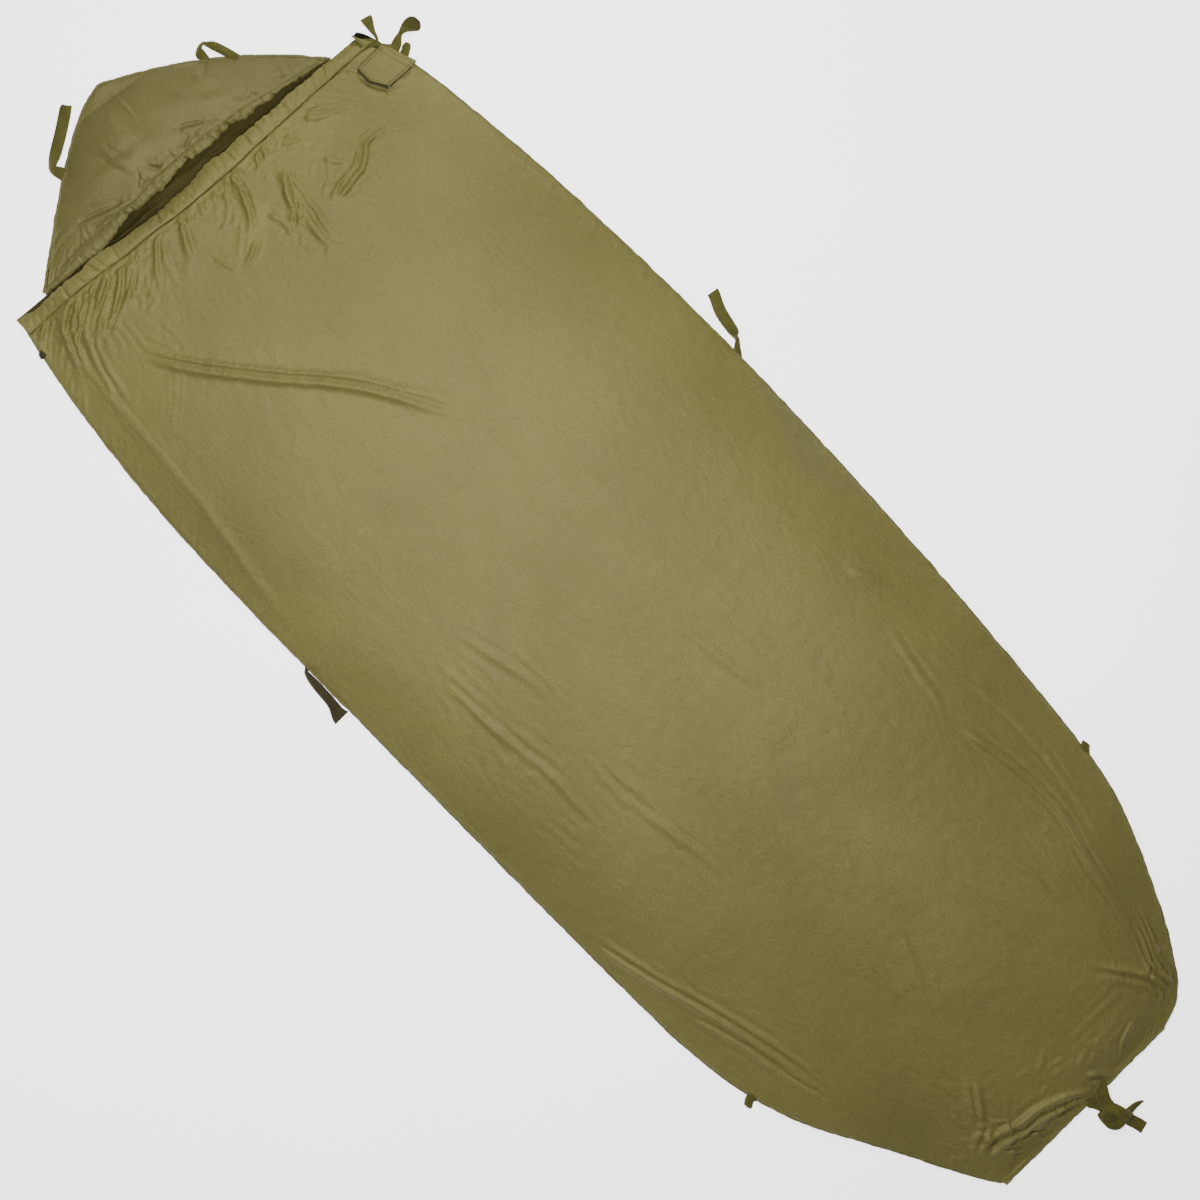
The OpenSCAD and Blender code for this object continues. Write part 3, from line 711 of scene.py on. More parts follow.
def gather_folds(count, seed, x_range, line, lengths, widths, heights, lean, spread):
    """Short random folds that start on a line and run down the cloth."""
    rng = np.random.default_rng(seed)
    out = []
    for k in range(count):
        x = mix(x_range[0], x_range[1], (k + rng.uniform(0.15, 0.85)) / count)
        length, turn = rng.uniform(*lengths), lean(x) + rng.normal(0, spread)
        y = float(line(x))
        bend = rng.normal(0, 0.35)
        mid = (x + 0.5 * length * math.sin(turn), y - 0.5 * length * math.cos(turn))
        end = (mid[0] + 0.5 * length * math.sin(turn + bend),
               mid[1] - 0.5 * length * math.cos(turn + bend))
        out.append(([(x, y + 3), mid, end], rng.uniform(*widths), rng.uniform(*heights),
                    0.55, 0.0, 0.75))
    return out


def hem_lean(x):
    """The way the gathers run from the hem: out towards both sides."""
    return float(np.interp(x, (-345, -180, -60, 60, 130, 230, 340),
                           (-1.1, -0.95, -0.5, -0.35, 0.3, 0.95, 0.8)))


# Patches of short crisp creases: (centre, size, how many, seed, the way they run)
CRINKLES = [
    ((80, 770), (55, 75), 16, 71, 1.25), ((85, 680), (35, 60), 8, 72, 1.4),
    ((0, 800), (60, 60), 10, 73, 1.0), ((230, 780), (90, 45), 14, 74, -0.3),
    ((-260, 850), (75, 40), 14, 75, 0.6), ((-120, 830), (60, 45), 8, 76, 0.9),
    ((160, 730), (50, 40), 7, 77, 0.2), ((-60, -1050), (90, 45), 12, 78, 0.2),
    ((100, -1060), (80, 40), 8, 79, -0.3), ((-160, -1000), (50, 80), 8, 80, 1.2),
    ((290, -700), (45, 160), 9, 81, 1.5), ((-340, -640), (40, 180), 10, 82, 1.9),
]


def crinkles(centre, size, count, seed, turn):
    """Short creases scattered over a patch."""
    rng = np.random.default_rng(seed)
    out = []
    for _ in range(count):
        x, y = np.array(centre) + np.array(size) * rng.uniform(-1, 1, 2)
        length, a = rng.uniform(18, 62), turn + rng.normal(0, 0.4)
        bend = rng.normal(0, 0.5)
        mid = (x + 0.5 * length * math.cos(a), y + 0.5 * length * math.sin(a))
        end = (mid[0] + 0.5 * length * math.cos(a + bend), mid[1] + 0.5 * length * math.sin(a + bend))
        out.append(([(x, y), mid, end], rng.uniform(3.2, 5.4), rng.uniform(0.8, 2.0),
                    rng.uniform(0.3, 0.8), 0.3, 0.5))
    return out


def side_folds(count, seed, left, lengths, widths, heights):
    """Short puckers that run in from a side seam."""
    rng = np.random.default_rng(seed)
    out = []
    for k in range(count):
        y = mix(FOOT_Y + 60, 860, (k + rng.uniform(0.1, 0.9)) / count)
        s = -1 if left else 1
        x = s * float(half_l(y) if left else half_r(y))
        length, turn = rng.uniform(*lengths), rng.normal(0.15, 0.55)
        end = (x - s * length * math.cos(turn), y + length * math.sin(turn))
        out.append(([(x - s * 2, y), ((x + end[0]) / 2, (y + end[1]) / 2 + rng.normal(0, 2)), end],
                    rng.uniform(*widths), rng.uniform(*heights), 0.4, 0.0, 0.7))
    return out


BODY_ROWS, BODY_COLS = 431, 229

# The simulation's frames, the most that slack widens the cloth, and how far a point may move
SETTLE_FRAMES, SLACK, SETTLE_CAP = 16, 0.045, 14.0
CLOTH_SETTINGS = {
    "quality": 6, "mass": 0.06, "tension_stiffness": 18, "compression_stiffness": 18,
    "shear_stiffness": 6, "bending_stiffness": 0.02, "vertex_group_mass": "pin",
    "vertex_group_shrink": "slack", "shrink_min": 0.0, "shrink_max": -SLACK,
}

# The crease that the body's side turns down at, [y, x]
SIDE_CREASE = [(240, -404), (420, -377), (560, -357), (700, -348), (830, -338), (890, -322)]


def settle(X, Y, Z, base, grow):
    """Cloth simulation on a coarser copy of a surface: sewn down round its rim, it lies on a
    filled shape of height base, and takes up the slack that grow gives it. Returns how far
    each point of the whole surface moves."""
    half = np.s_[::2, ::2]
    cx, cy, cz, cb, cg = X[half], Y[half], Z[half], base[half], grow[half]
    rows, cols = cx.shape
    trial = grid("cloth_trial", cx, cy, cz, CLOTH)
    filling = grid("cloth_filling", cx, cy, cb - 2.5, CLOTH)
    rim = np.zeros((rows, cols), bool)
    rim[0], rim[-1], rim[:, 0], rim[:, -1] = True, True, True, True
    pin = trial.vertex_groups.new(name="pin")
    pin.add(np.flatnonzero(rim.ravel()).tolist(), 1.0, "REPLACE")
    slack = trial.vertex_groups.new(name="slack")
    for i, g in enumerate(cg.ravel()):
        slack.add([i], float(np.clip(g, 0, 1)), "REPLACE")
    filling.modifiers.new("Collision", "COLLISION")
    filling.collision.thickness_outer = 0.0015
    filling.collision.cloth_friction = 8
    cloth = trial.modifiers.new("Cloth", "CLOTH")
    for key, value in CLOTH_SETTINGS.items():
        setattr(cloth.settings, key, value)
    cloth.collision_settings.distance_min = 0.0015
    cloth.collision_settings.collision_quality = 3
    cloth.collision_settings.use_self_collision = False
    cloth.point_cache.frame_start, cloth.point_cache.frame_end = 1, SETTLE_FRAMES
    scene = bpy.context.scene
    for f in range(1, SETTLE_FRAMES + 1):
        scene.frame_set(f)
    graph = bpy.context.evaluated_depsgraph_get()
    found = trial.evaluated_get(graph).data
    co = np.zeros(len(found.vertices) * 3)
    found.vertices.foreach_get("co", co)
    moved = co.reshape(rows, cols, 3) / MM - np.stack([cx, cy, cz], -1)
    scene.frame_set(1)
    for o in (trial, filling):
        data = o.data
        bpy.data.objects.remove(o)
        bpy.data.meshes.remove(data)
    far = np.linalg.norm(moved, axis=-1, keepdims=True)
    moved *= np.minimum(1, SETTLE_CAP / np.maximum(far, 1e-6))
    return between_rows(moved, X.shape)


def between_rows(coarse, shape):
    """A coarse grid of values carried to a grid twice as fine, with smooth curves between."""
    rows, cols = shape
    out = coarse
    for axis, n in ((0, rows), (1, cols)):
        m = out.shape[axis]
        t = np.minimum(np.arange(n) / 2, m - 1)
        i = np.minimum(t.astype(int), m - 2)
        s = (t - i).reshape([-1 if k == axis else 1 for k in range(out.ndim)])
        take = lambda j: np.take(out, np.clip(i + j, 0, m - 1), axis=axis)
        a, b, c, d = take(-1), take(0), take(1), take(2)
        out = 0.5 * (2 * b + (c - a) * s + (2 * a - 5 * b + 4 * c - d) * s**2
                     + (3 * b - a - 3 * c + d) * s**3)
    return out


def body_surface():
    k = np.linspace(0, 1, 2001)
    density = 1 + 1.8 * step(0.7, 0.82, k) + 0.8 * (1 - step(0.04, 0.12, k))
    density += 2.0 * np.exp(-(1 - k) / 0.012) + 3.0 * np.exp(-k / 0.008)
    total = np.concatenate([[0], np.cumsum(density[1:])])
    w = np.interp(np.linspace(0, 1, BODY_ROWS), total / total[-1], k)
    u = np.linspace(0, 1, BODY_COLS)
    u = mix(u, (1 - np.cos(math.pi * u)) / 2, 0.3)
    W, U = np.meshgrid(w, u, indexing="ij")
    left, right = -half_l(body_point_y(NECK_L, W)), half_r(body_point_y(NECK_R, W))
    X = mix(left, right, U)
    Y = body_point_y(X, W)
    Z = body_height(X, W)
    crease = smooth(SIDE_CREASE, Y) + 2.5 * wander(Y, 0 * Y, 90, 7)
    share = np.clip((X - left) / np.maximum(crease - left, 1), 0, 1)
    panel = 3.5 + (body_height(crease, W) + 1.0 - 3.5) * share**0.92
    amount = step(260, 420, Y) * (1 - step(850, 895, Y)) * (1 - step(-1, 5, X - crease))
    Z = mix(Z, panel, amount)
    ridge = 4.5 * np.exp(-(((X - crease - 5) / 10) ** 2)) * step(240, 420, Y) * (1 - step(860, 900, Y))
    Z = Z + ridge * (X > crease)
    lift = np.zeros(X.shape)
    lift += 2.6 * wander(X, Y * 0.6, 210, 3) + 1.2 * wander(X, Y * 0.7, 95, 5)
    folds = [(p, 0.62 * a, 1.3 * h, *rest) for p, a, h, *rest in HEM_FOLDS + FOOT_FOLDS]
    folds += [(p, 0.72 * a, 1.1 * h, *rest) for p, a, h, *rest in LONG_FOLDS] + FLAP_FOLDS
    folds += gather_folds(58, 11, (-345, 340), body_stitch_y, (14, 60), (2.4, 4.4), (1.4, 3.4),
                          hem_lean, 0.35)
    folds += gather_folds(20, 12, (-340, 330), body_stitch_y, (60, 150), (4.5, 7.5), (2.0, 3.6),
                          hem_lean, 0.25)
    folds += [(points, 3.0, -2.8, 0.0, 0.15, 0.5) for points in BODY_CREASES]
    for centre, size, count, seed, turn in CRINKLES:
        folds += crinkles(centre, size, count, seed, turn)
    folds += side_folds(85, 13, True, (14, 55), (3.5, 7), (1.0, 2.6))
    folds += side_folds(85, 14, False, (14, 50), (3.5, 7), (0.9, 2.2))
    for points, width, height, sharp, head, tail in folds:
        lift += fold(X, Y, points, width, height, sharp, head, tail)
    from_rim = np.minimum(X - left, right - X)
    lift *= step(-2, 16, from_rim) * step(0, 0.012, W)
    ditch = body_stitch_y(X) - Y
    lift *= 0.25 + 0.75 * step(0, 14, ditch)
    lift -= 0.5 * np.exp(-((ditch / 4) ** 2))
    base, Z = Z, np.maximum(Z + lift, 3.4)
    grow = 0.05 + 0.8 * np.exp(-np.maximum(ditch, 0) / 110) + 0.16 * np.exp(-from_rim / 60)
    grow += 0.6 * np.exp(-(Y - FOOT_Y) / 140)
    moved = settle(X, Y, Z, base, grow)
    X, Y, Z = X + moved[..., 0], Y + moved[..., 1], Z + moved[..., 2]
    Z = np.maximum(Z, 3.0)
    return X, Y, Z, W


BODY = body_surface()


def make_body_top():
    X, Y, Z, _ = BODY
    obj = grid("body_top_cloth", X, Y, Z, CLOTH)
    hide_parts("body_top_panel", "foot_end_panel")
    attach(obj, "sack")
    return obj


body_top = make_body_top()

# ---- Back cloth ---------------------------------------------------------------------

# Folds of the back cloth behind the mouth: (points, half-width, height, valley, head, tail)
INNER_FOLDS = [
    ([(-165, 931), (-120, 926), (-84, 924), (-56, 912)], 5, 5, 0.9, 0.1, 0.2),
    ([(-70, 934), (-30, 930), (10, 922), (50, 924)], 7, 4, 0.5, 0.2, 0.4),
    ([(20, 918), (70, 914), (120, 912)], 6, 3, 0.6, 0.3, 0.4),
]


def inner_rise(x, y):
    """The back cloth stands up behind the mouth, and is crumpled there."""
    up = y - neck_y(x)
    hump = np.exp(-(((x + 45) / 105) ** 2)) * np.exp(-(((up - 2) / 34) ** 2))
    out = 15 * hump + 2.2 * hump * wander(x, y * 1.4, 42, 23)
    for points, width, height, sharp, head, tail in INNER_FOLDS:
        out = out + fold(x, y, points, width, height, sharp, head, tail)
    return out


def make_backs():
    w, u = 1 - np.linspace(1, 0, 190) ** 1.5, np.linspace(0, 1, 150)
    W, U = np.meshgrid(w, u, indexing="ij")
    yl, yr = mix(FOOT_Y, neck_y(NECK_L), W), mix(FOOT_Y, neck_y(NECK_R), W)
    left, right = -half_l(yl), half_r(yr)
    X = mix(left, right, U)
    Y = mix(FOOT_Y, neck_y(X), W)
    rim = np.minimum(X - left, right - X)
    Z = 1.5 + 0.6 * wander(X, Y, 60, 21) + 2.0 * (1 - step(0, 12, rim)) + inner_rise(X, Y)
    Z = np.maximum(Z, 0.6)
    # The back cloth's dark colour is partly painted shade inside the mouth.
    body_back = grid("body_back_cloth", X, Y, Z, CLOTH_BACK_SHADED)
    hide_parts("back_panel")
    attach(body_back, "sack")

    w, u = np.linspace(0, 1, 70) ** 1.4, np.linspace(0, 1, 150)
    W, U = np.meshgrid(w, u, indexing="ij")
    t = 0.992 * W
    a, b = bezier(HOOD_L, t), bezier(HOOD_R, t)
    X = mix(a[..., 0], b[..., 0], U)
    base = neck_y(X)
    straight = mix(a[..., 1], b[..., 1], U)
    Y = mix(straight, base, (1 - W) ** (8 + 90 * np.abs(2 * U - 1) ** 6))
    rim = np.minimum(X - a[..., 0], b[..., 0] - X)
    Z = 1.5 + 0.6 * wander(X, Y, 60, 21) + 2.0 * (1 - step(0, 10, rim)) + inner_rise(X, Y)
    Z = np.maximum(Z, 0.6)
    hood_back = grid("hood_back_cloth", X, Y, Z, CLOTH_BACK_SHADED)
    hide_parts("hood_back_panel")
    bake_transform(hood_back)
    return body_back, hood_back


body_back, hood_back = make_backs()

# ---- Hood's upper cloth -------------------------------------------------------------

# Soft folds in the hood, in the same form
HOOD_FOLDS = [
    ([(1, 1108), (2, 1070), (0, 1030)], 5, 1.6, 0.4, 0.2, 0.4),
    ([(-74, 1052), (-66, 1018), (-54, 986)], 7, 4, 0.6, 0.2, 0.5),
    ([(-190, 986), (-140, 968), (-92, 950)], 7, 5, 0.7, 0.2, 0.4),
    ([(-262, 953), (-200, 955), (-132, 953)], 6, 4, 0.6, 0.2, 0.4),
    ([(-240, 990), (-215, 993), (-186, 992)], 7, 3, 0.5, 0.2, 0.5),
    ([(-20, 960), (-30, 975), (-38, 990)], 6, 4, 0.6, 0.1, 0.6),
    ([(36, 982), (56, 968), (76, 955)], 6, 4.5, 0.7, 0.2, 0.4),
    ([(20, 950), (34, 958), (52, 962)], 5, 3.5, 0.6, 0.1, 0.6),
    ([(110, 1028), (122, 1008), (134, 990)], 8, 3, 0.4, 0.3, 0.5),
    ([(-130, 1030), (-60, 1005), (20, 1000)], 14, 3, 0.3, 0.3, 0.5),
    ([(60, 1040), (100, 985), (160, 950)], 12, 3, 0.3, 0.3, 0.5),
    ([(-40, 1080), (-30, 1040), (-10, 1005)], 12, 2.5, 0.3, 0.3, 0.5),
]


# Sharp creases in the hood, which show as thin dark lines
HOOD_CREASES = [
    [(-154, 1008), (-126, 984), (-100, 958)], [(-84, 1036), (-76, 1004), (-62, 977)],
    [(-276, 960), (-226, 964), (-172, 966)], [(-178, 964), (-140, 958), (-96, 950)],
    [(-42, 972), (-30, 962), (-18, 952)], [(26, 996), (46, 978), (70, 958)],
    [(14, 962), (28, 952), (40, 944)], [(72, 962), (92, 950), (118, 944)],
    [(152, 1046), (136, 1028), (118, 1012)], [(-250, 984), (-222, 987), (-192, 986)],
    [(128, 958), (150, 946), (176, 936)], [(-8, 966), (-2, 958), (6, 953)],
    [(196, 946), (214, 932), (236, 916)], [(-60, 962), (-52, 955), (-48, 951)],
    [(-140, 972), (-122, 962), (-112, 956)],
]


def hood_line():
    s = np.linspace(0, 1, 60)
    x, y, z = hood_rows(np.zeros(60), s)
    return x, y, z


hood_x, _, hood_z = hood_line()
HOOD_STITCH_Z = list(zip(hood_x, hood_z))


def make_hood_top():
    w, s = np.linspace(0, 1, 118) ** 1.15, np.linspace(0, 1, 250)
    W, S = np.meshgrid(w, s, indexing="ij")
    X, Y, Z = hood_rows(W, S)
    t = mix(0.03, 0.992, W)
    a, b = bezier(HOOD_L, t), bezier(HOOD_R, t)
    rim = np.minimum(X - a[..., 0], b[..., 0] - X)
    lift = 1.6 * wander(X, Y, 120, 31) + 0.8 * wander(X, Y, 50, 32)
    rng = np.random.default_rng(33)
    folds = list(HOOD_FOLDS)
    folds += [(points, 2.8, -2.1, 0.0, 0.2, 0.4) for points in HOOD_CREASES]
    for k in range(46):
        x = -285 + 560 * (k + rng.uniform(0.1, 0.9)) / 46
        length, turn = rng.uniform(10, 42), rng.normal(0.25 - 0.002 * x, 0.4)
        y = float(hood_stitch_y(x))
        folds.append(([(x, y), (x + 0.5 * length * math.sin(turn), y + 0.5 * length * math.cos(turn)),
                       (x + length * math.sin(turn + 0.2), y + length * math.cos(turn + 0.2))],
                      rng.uniform(2.6, 4.6), rng.uniform(0.8, 2.2), 0.7, 0.0, 0.75))
    for points, width, height, sharp, head, tail in folds:
        lift += fold(X, Y, points, width, height, sharp, head, tail)
    up = Y - hood_stitch_y(X)
    lift *= step(-2, 14, rim) * (0.25 + 0.75 * step(0, 10, up))
    lift *= 1 - 0.7 * step(0.8, 1, W)
    lift -= 1.2 * np.exp(-((up / 4) ** 2))
    Z = np.maximum(Z + lift, 3.4)
    # The hood takes the darker copy of the cloth: painted shade.
    obj = grid("hood_top_cloth", X, Y, Z, CLOTH_SHADED)
    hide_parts("hood_top_panel")
    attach(obj, "hood")
    return obj


hood_top = make_hood_top()

# ---- Hem channels -------------------------------------------------------------------


def channel(name, x, y_stitch, y_edge, base, material, seed, thick=6.4, spacing=13.0, roll=0.0,
            flare=False):
    """A sewn channel with a gathered skin: x, the stitch line, the free edge and the height
    of its under side are arrays along it. Roll is how far the free edge sinks, and flare
    opens the channel's right end and slants it."""
    n = len(x)
    sign = np.sign(y_edge - y_stitch)
    rng = np.random.default_rng(seed)
    length = np.concatenate([[0], np.cumsum(np.hypot(np.diff(x), np.diff(y_edge)))])
    pinches = []
    at = 0.0
    while at < length[-1]:
        at += spacing * rng.uniform(0.25, 1.9)
        big = rng.uniform() < 0.3
        pinches.append((at, rng.uniform(0.8, 1.3) if big else rng.uniform(0.15, 0.5),
                        rng.uniform(1.8, 3.0), rng.uniform(-9, 9), rng.uniform(0.0, 0.5)))
    slow = wander(length, 0 * length, 46, seed + 1)
    q_top = np.array([0, 0.05, 0.14, 0.28, 0.42, 0.56, 0.7, 0.83, 0.93, 0.985, 1.0])
    q_low = np.array([0.975, 0.85, 0.6, 0.35, 0.12])
    points = []
    for q, low in [(q, False) for q in q_top] + [(q, True) for q in q_low]:
        dent, notch = np.zeros(n), np.zeros(n)
        for at, size, wide, lean, start in pinches:
            near = np.exp(-np.abs((length - at - lean * (q - 0.5)) / wide) ** 1.6)
            dent -= size * near * step(start - 0.3, start + 0.1, q)
            notch -= size * near
        ragged = 0.9 * wander(length, 0 * length, 11, seed + 6)
        y_out = y_edge + sign * (notch * 1.7 + 1.6 * slow + ragged)
        y = mix(y_stitch, y_out, q)
        puff = np.sin(math.pi * np.clip(q * 0.86 + 0.1, 0, 1)) ** 0.55
        if low:
            z = base + 0.5 * (1 - puff)
        else:
            fine = wander(length, 30 * q + 0 * length, 12, seed + 5)
            z = base + 1.0 + (thick - 1.0 + 1.5 * slow + 0.8 * fine) * puff + 3.6 * dent * puff
        z = z - roll * q**1.5
        x_out = x
        if flare:
            mouth = step(length[-1] - 26, length[-1], length)
            z = z + (-1.0 if low else 3.4 * puff) * mouth
            x_out = x - (17 * q + (-2 if low else 5 * puff)) * mouth
        points.append(np.stack([x_out, y, np.maximum(z, 1.2)], -1))
    P = np.stack(points, 1)
    m = P.shape[1]
    obj = build(name, P.reshape(-1, 3), grid_faces(n, m, close_cols=True), material)
    return obj


def tape_inside(name, node, body, x, y_low, y_high, z):
    """The run of draw tape that lies in a channel."""
    rows = [(x, y_low, z), (x, y_high, z), (x, y_high, z + 1.2), (x, y_low, z + 1.2)]
    P = np.stack([np.stack(r, -1) for r in rows], 1)
    faces = grid_faces(len(x), 4, close_cols=True)
    faces += [[3, 2, 1, 0], [(len(x) - 1) * 4 + i for i in range(4)]]
    obj = build(name, P.reshape(-1, 3), faces, TAPE, False)
    shares = np.tile([0, HEM_W, HEM_W, 0], len(x)) * MM
    lay_uv(obj, np.stack([np.repeat(x, 4) * MM, shares], -1))
    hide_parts(node)
    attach(obj, body)


def make_body_hem():
    n = 470
    x = np.linspace(NECK_L - 6, NECK_R + 11, n)
    ys, ye = body_stitch_y(x), body_edge_y(x)
    ye = ye + 4 * np.exp(-(((x - NECK_L) / 14) ** 2))
    base = body_height(np.clip(x, NECK_L, NECK_R), np.ones(n)) - CLOTH_T
    obj = channel("body_hem", x, ys, ye, base, CLOTH, 41, 7.2, 17, 9 * hem_roll(x), True)
    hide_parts("body_hem_casing")
    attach(obj, "sack")
    z = base + 2.6
    line = np.stack([x, ys + 1.5 + 0.4 * wander(x, ys, 30, 44), z], -1)[6:-4]
    inside = np.s_[8:-38:4]
    sink = 9 * hem_roll(x)
    tape_inside("body_draw_tape_run", "body_draw_tape", "sack", x[inside],
                mix(ys, ye, 0.3)[inside], mix(ys, ye, 0.68)[inside], (base + 1.4 - 0.6 * sink)[inside])
    # A near-black strip set in the open end of the body hem: painted shade where the inside of the
    # channel lies in shadow.
    lining = ribbon("body_hem_mouth", [
        (362, 846, 4.6, 20, 0, 7), (357, 856, 4.4, 8, 0, 11), (353, 866, 3.8, 2, 0, 14),
        (350, 873, 3.4, 2, 0, 15), (348, 882, 3.4, 4, 0, 13),
        (345, 891, 4.2, 8, 0, 10), (342, 898, 4.8, 12, 0, 6)], CLOTH_DARK, 0.8, bow_most=0)
    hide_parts("body_hem_casing")
    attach(lining, "sack")
    thread = stitches("body_hem_stitches", line, 0.3, THREAD)
    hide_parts("body_hem_stitching")
    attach(thread, "sack")


def make_hood_hem():
    n = 360
    x = np.linspace(-296, 284, n)
    ys, ye = hood_stitch_y(x), hood_edge_y(x)
    ye = np.minimum(ye, ys - 8)
    base = smooth(HOOD_STITCH_Z, x) - CLOTH_T
    obj = channel("hood_hem", x, ys, ye, base, CLOTH_SHADED, 51, 6.4, 14)
    obj.data.flip_normals()
    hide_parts("hood_hem_casing")
    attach(obj, "hood")
    line = np.stack([x, ys - 1.2 + 0.4 * wander(x, ys, 30, 54), base + 2.4], -1)[4:-4]
    inside = np.s_[12:-12:4]
    tape_inside("hood_draw_tape_run", "hood_draw_tape", "hood", x[inside],
                mix(ys, ye, 0.3)[inside], mix(ys, ye, 0.7)[inside], (base + 1.6)[inside])
    thread = stitches("hood_hem_stitches", line, 0.3, THREAD)
    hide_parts("hood_hem_stitching")
    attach(thread, "hood")


make_body_hem()
make_hood_hem()

# ---- Seams --------------------------------------------------------------------------


def rolled_seam(name, line, material, seed, radius=2.2, pucker=0.35):
    """A rolled seam edge along a line, with small puckers."""
    line = np.asarray(line, float)
    length = np.concatenate([[0], np.cumsum(np.linalg.norm(np.diff(line, axis=0), axis=1))])
    n = int(length[-1] / 3.2)
    s = np.linspace(0, length[-1], n)
    centre = np.stack([np.interp(s, length, line[:, k]) for k in range(3)], -1)
    along = np.gradient(centre, axis=0)
    along /= np.linalg.norm(along, axis=1)[:, None] + 1e-9
    across = np.stack([-along[:, 1], along[:, 0], 0 * s], -1)
    across /= np.linalg.norm(across, axis=1)[:, None] + 1e-9
    swell = 1 + pucker * wander(s, 0 * s, 14, seed) * 0.6
    shift = 0.6 * wander(s, 0 * s, 40, seed + 1)
    rings = []
    for a in np.linspace(0, 2 * math.pi, 9)[:-1]:
        off = across * ((math.cos(a) * radius * 1.25 * swell + shift)[:, None])
        up = np.zeros((n, 3))
        up[:, 2] = math.sin(a) * radius * swell
        rings.append(centre + off + up)
    P = np.stack(rings, 1)
    P[..., 2] = np.maximum(P[..., 2], 0.3)
    faces = grid_faces(n, 8, close_cols=True, flip=True)
    faces.append(list(range(8)))
    faces.append([(n - 1) * 8 + i for i in range(8)][::-1])
    return build(name, P.reshape(-1, 3), faces, material)


def side_line(left, y0, y1, n=240, z=3.0):
    y = np.linspace(y0, y1, n)
    x = -half_l(y) if left else half_r(y)
    return np.stack([x, y, np.full(n, z)], -1)


def make_seams():
    # The seam rolls take the darker copy of the cloth: painted shade where the sides and the foot turn
    # down.
    left = rolled_seam("side_seam_left_edge", side_line(True, FOOT_Y + 6, 934), CLOTH_SHADED, 61, 1.7)
    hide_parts("side_seam_left")
    right = rolled_seam("side_seam_right_edge", side_line(False, FOOT_Y + 12, 872), CLOTH_SHADED, 62, 1.7)
    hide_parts("side_seam_right")
    x = np.linspace(-204, 150, 80)
    foot_line = np.stack([x, np.full(80, FOOT_Y), np.full(80, 3.0)], -1)
    foot = rolled_seam("foot_seam_edge", foot_line, CLOTH_SHADED, 63, 2.0)
    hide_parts("foot_seam")
    t = np.linspace(0.0, 0.992, 90)
    a, b = bezier(HOOD_L, t), bezier(HOOD_R, t)[::-1]
    rim = np.vstack([a, b])
    rim = np.hstack([rim, np.full((len(rim), 1), 3.0)])
    hood = rolled_seam("hood_edge_roll", rim, CLOTH_SHADED, 64, 2.0)
    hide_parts("hood_edge_seam")
    for obj, body in ((left, "sack"), (right, "sack"), (foot, "sack"), (hood, "hood")):
        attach(obj, body)


make_seams()

# ---- Ties ---------------------------------------------------------------------------


def make_tie(name, nodes, body, parts, material=TAPE, **shape):
    pieces = [ribbon(f"{name}_{i}", stations, material, **shape)
              for i, stations in enumerate(parts)]
    obj = join(name, pieces)
    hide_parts(*nodes)
    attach(obj, body)
    return obj


make_tie("hood_tie_left", ["tie_hood_left"], "tie_hood_left", [[
    (-142, 1056, 4.0, 35, 0, 22), (-145, 1068, 4.2, 20, 8, 20), (-149, 1080, 4.5, -5, 38, 19),
    (-144, 1087, 4.5, -45, 35, 19), (-128, 1097, 3.4, -57, 8, 20), (-100, 1114, 2.2, -57, 0, 20),
    (-76, 1130, 2.2, -55, 0, 20), (-67, 1136, 3.4, -50, -10, 19), (-62, 1138, 5.2, -48, -25, 17),
]])
make_tie("hood_tie_right", ["tie_hood_right"], "tie_hood_right", [[
    (143, 1036, 4.5, -50, 0, 22), (146, 1048, 5.2, -35, 20, 18), (152, 1055, 6.0, -60, 55, 14),
    (162, 1054, 6.5, -25, 50, 14), (169, 1042, 5.5, 10, 20, 15), (176, 1022, 4.2, 15, 0, 15),
    (182, 1000, 3.6, 15, 0, 15),
]])
make_tie("side_tie_right", ["tie_side_right"], "tie_side_right", [[
    (418, 110, 3.0, 85, 0, 22), (428, 120, 3.2, 80, 20, 18), (437, 132, 4.0, 20, 40, 18),
    (440, 150, 3.0, 5, 10, 19), (446, 178, 2.0, -8, 0, 20), (456, 200, 2.0, -10, 0, 20),
    (459, 209, 2.4, -10, 4, 20),
]])
make_tie("side_tie_left", ["tie_side_left"], "tie_side_left", [[
    (-418, 238, 3.0, 80, 0, 16), (-425, 228, 3.6, 40, 30, 16), (-427, 200, 3.2, 8, 10, 16),
    (-429, 170, 2.8, 5, 5, 17), (-434, 150, 3.0, 0, 0, 24), (-434, 140, 3.0, 0, 0, 29),
]], TAPE_DARK)
make_tie("lower_tie_left", ["tie_lower_left"], "tie_lower_left", [[
    (-386, -748, 3.2, 75, 0, 20), (-396, -744, 3.4, 85, 20, 18), (-405, -748, 3.0, 100, 0, 16),
    (-409, -750, 1.8, 100, 0, 14),
]])
make_tie("lower_tie_right", ["tie_lower_right"], "tie_lower_right", [[
    (367, -724, 3.2, 105, 0, 20), (373, -720, 3.4, 100, 12, 18), (379, -716, 2.6, 100, 0, 14),
]])

